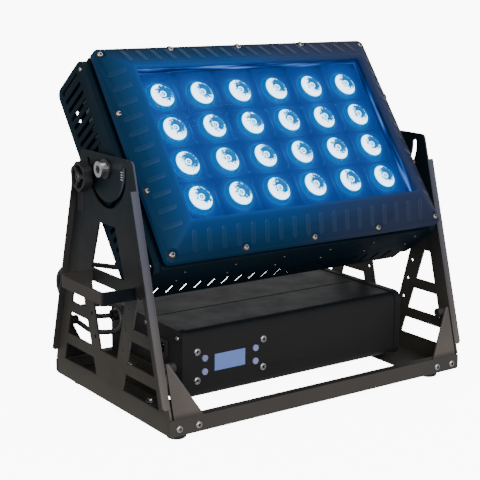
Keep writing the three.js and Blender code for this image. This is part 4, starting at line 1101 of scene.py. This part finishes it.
CABLE_RADIUS = 3.5
CABLE_SIDES = 14
CABLE_STEPS = 8


def between(a, b, ta, tb, t):
    return a * ((tb - t) / (tb - ta)) + b * ((t - ta) / (tb - ta))


def smooth_path(points):
    """Centripetal curve through points, as the CAD route has."""
    first = points[0] * 2 - points[1]
    last = points[-1] * 2 - points[-2]
    chain = [first, *points, last]
    path = []
    for p0, p1, p2, p3 in zip(chain, chain[1:], chain[2:], chain[3:]):
        t0 = 0
        t1 = t0 + (p1 - p0).length ** 0.5
        t2 = t1 + (p2 - p1).length ** 0.5
        t3 = t2 + (p3 - p2).length ** 0.5
        for k in range(CABLE_STEPS):
            t = t1 + (t2 - t1) * k / CABLE_STEPS
            a1 = between(p0, p1, t0, t1, t)
            a2 = between(p1, p2, t1, t2, t)
            a3 = between(p2, p3, t2, t3, t)
            path.append(between(between(a1, a2, t0, t2, t), between(a2, a3, t1, t3, t), t1, t2, t))
    path.append(points[-1])
    return path


def link_cable():
    """The cable's jacket along its route, bending from the stand to the head."""
    away = head_dir(0, -1, 0)
    end = on_head(*CABLE_END)
    start = at(*CABLE_START)
    points = [start, start + Vector((-CABLE_START_STRAIGHT * MM, 0, 0))]
    points += [at(*p) for p in CABLE_ROUTE]
    points += [end + away * CABLE_END_STRAIGHT * MM, end]
    path = smooth_path(points)
    side = UP
    rings = []
    for i, p in enumerate(path):
        tangent = (path[min(i + 1, len(path) - 1)] - path[max(i - 1, 0)]).normalized()
        side = (side - tangent * side.dot(tangent)).normalized()
        other = tangent.cross(side)
        rings.append([p + (side * math.cos(a) + other * math.sin(a)) * CABLE_RADIUS * MM
                      for a in circle(CABLE_SIDES)])
    bm = bmesh.new()
    add_rings(bm, rings)
    obj = piece("link_cable_jacket", bm, "jacket", None)
    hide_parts("link_cable")
    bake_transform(obj)


# CAD nodes that stay: their finish and smooth shading

NODE_SHARP = math.radians(30)
FINISH = {
    "frame": ["front_bar", "rear_bar", "side_plate_left", "side_plate_right",
              "psu_bracket_left", "psu_bracket_right"],
    "handle": ["carry_handle"],
    "head": ["head_housing", "side_cover_left", "side_cover_right"],
    "bezel": ["bezel"],
    "box": ["psu_housing", "psu_end_cap_left", "psu_end_cap_right"],
    "steel": ["pivot_bolt_left", "pivot_bolt_right"],
    "dull": ["pivot_washer_left", "pivot_washer_right", "pivot_block_left", "pivot_block_right"],
    "rubber": ["foot_front_left", "foot_front_right", "foot_rear_left", "foot_rear_right",
               "glass_gasket"],
    "plastic": ["psu_gland", "head_gland", "data_socket_in", "data_socket_out", "power_inlet"],
    "knob": ["lock_knob_left", "lock_knob_right"],
    "glass": ["front_glass"],
    "circuit": ["control_board", "driver_board", "led_board"],
    "aluminium": ["heat_sink", "power_supply"],
    "display": ["display"],
    "button": ["button_1", "button_2", "button_3", "button_4"],
}


def finish_nodes():
    """Gives each CAD node its material."""
    for material, names in FINISH.items():
        for name in names:
            mesh = frame["nodes"][name].data
            mesh.materials.clear()
            mesh.materials.append(MAT[material])
            mesh.shade_smooth()
            mesh.set_sharp_from_angle(angle=NODE_SHARP)


# Camera, floor and light

FLOOR_HALF = 400
FLOOR_GLOW = 9.0
WORLD_LIGHT = 0.5

# Name, place, target and size in metres, and power in watts
SOFTBOXES = (
    ("key", (-0.9, -2.6, 1.5), (0, 0, 0.2), (1.4, 1.4), 60),
    ("top", (0.3, -0.6, 2.6), (0, 0, 0.2), (2.0, 1.6), 14),
    ("side", (-2.4, 0.2, 0.5), (0, 0, 0.15), (1.2, 0.8), 16),
)


def camera():
    """The photograph's camera."""
    yaw, pitch, roll = (math.radians(a) for a in (CAMERA_YAW, CAMERA_PITCH, CAMERA_ROLL))
    right = Vector((math.cos(yaw), math.sin(yaw), 0))
    forward = Vector((-math.sin(yaw) * math.cos(pitch), math.cos(yaw) * math.cos(pitch),
                      math.sin(pitch)))
    up = right.cross(forward)
    rolled_right = right * math.cos(roll) + up * math.sin(roll)
    rolled_up = up * math.cos(roll) - right * math.sin(roll)
    data = bpy.data.cameras.new("camera")
    data.sensor_width = SENSOR_WIDTH
    data.lens = SENSOR_WIDTH * FOCAL_PX / FRAME_PX
    obj = new_object("camera", data)
    turn = Matrix((rolled_right, rolled_up, -forward)).transposed().to_4x4()
    obj.matrix_world = Matrix.Translation(at(*CAMERA_AT)) @ turn
    bpy.context.scene.camera = obj


def softbox(name, place, target, size, power):
    data = bpy.data.lights.new(name, "AREA")
    data.shape = "RECTANGLE"
    data.size, data.size_y = size
    data.energy = power
    obj = new_object(name, data)
    obj.location = place
    obj.rotation_euler = (Vector(target) - Vector(place)).to_track_quat("-Z", "Y").to_euler()


def studio():
    """Glowing white floor that lights nothing else, a pale world and the softboxes."""
    bm = bmesh.new()
    bmesh.ops.create_grid(bm, x_segments=1, y_segments=1, size=FLOOR_HALF)
    mesh = bpy.data.meshes.new("floor")
    bm.to_mesh(mesh)
    bm.free()
    material, tree, shader = new_material("floor_paper", {
        "Roughness": 0.9, "Emission Color": (1, 1, 1, 1), "Emission Strength": FLOOR_GLOW})
    tone = ramp(tree, noise(tree, 3, 2), [(0.3, grey(0.88)), (0.7, grey(0.9))])
    link(tree, tone, "Color", shader, "Base Color")
    mesh.materials.append(material)
    floor = new_object("floor", mesh)
    floor.visible_diffuse = False
    floor.visible_glossy = False
    world = bpy.data.worlds.new("studio")
    world.use_nodes = True
    background = world.node_tree.nodes["Background"]
    set_values(background, {"Color": (1, 1, 1, 1), "Strength": WORLD_LIGHT})
    bpy.context.scene.world = world
    for name, place, target, size, power in SOFTBOXES:
        softbox(name, place, target, size, power)


camera()
link_cable()
finish_nodes()
bezel_ribs()
bezel_screws()
for lens_row in range(LENS_ROWS):
    lens_piece(lens_row)
lens_panel()
lens_frame()
head_fasteners()
vent_shade_strips()
stand_fasteners()
box_fasteners()
scale_marks()
knob_caps()
bolt_socket_shade()
ear_spacers()
plate_slot_shade()
socket_details()
studio()
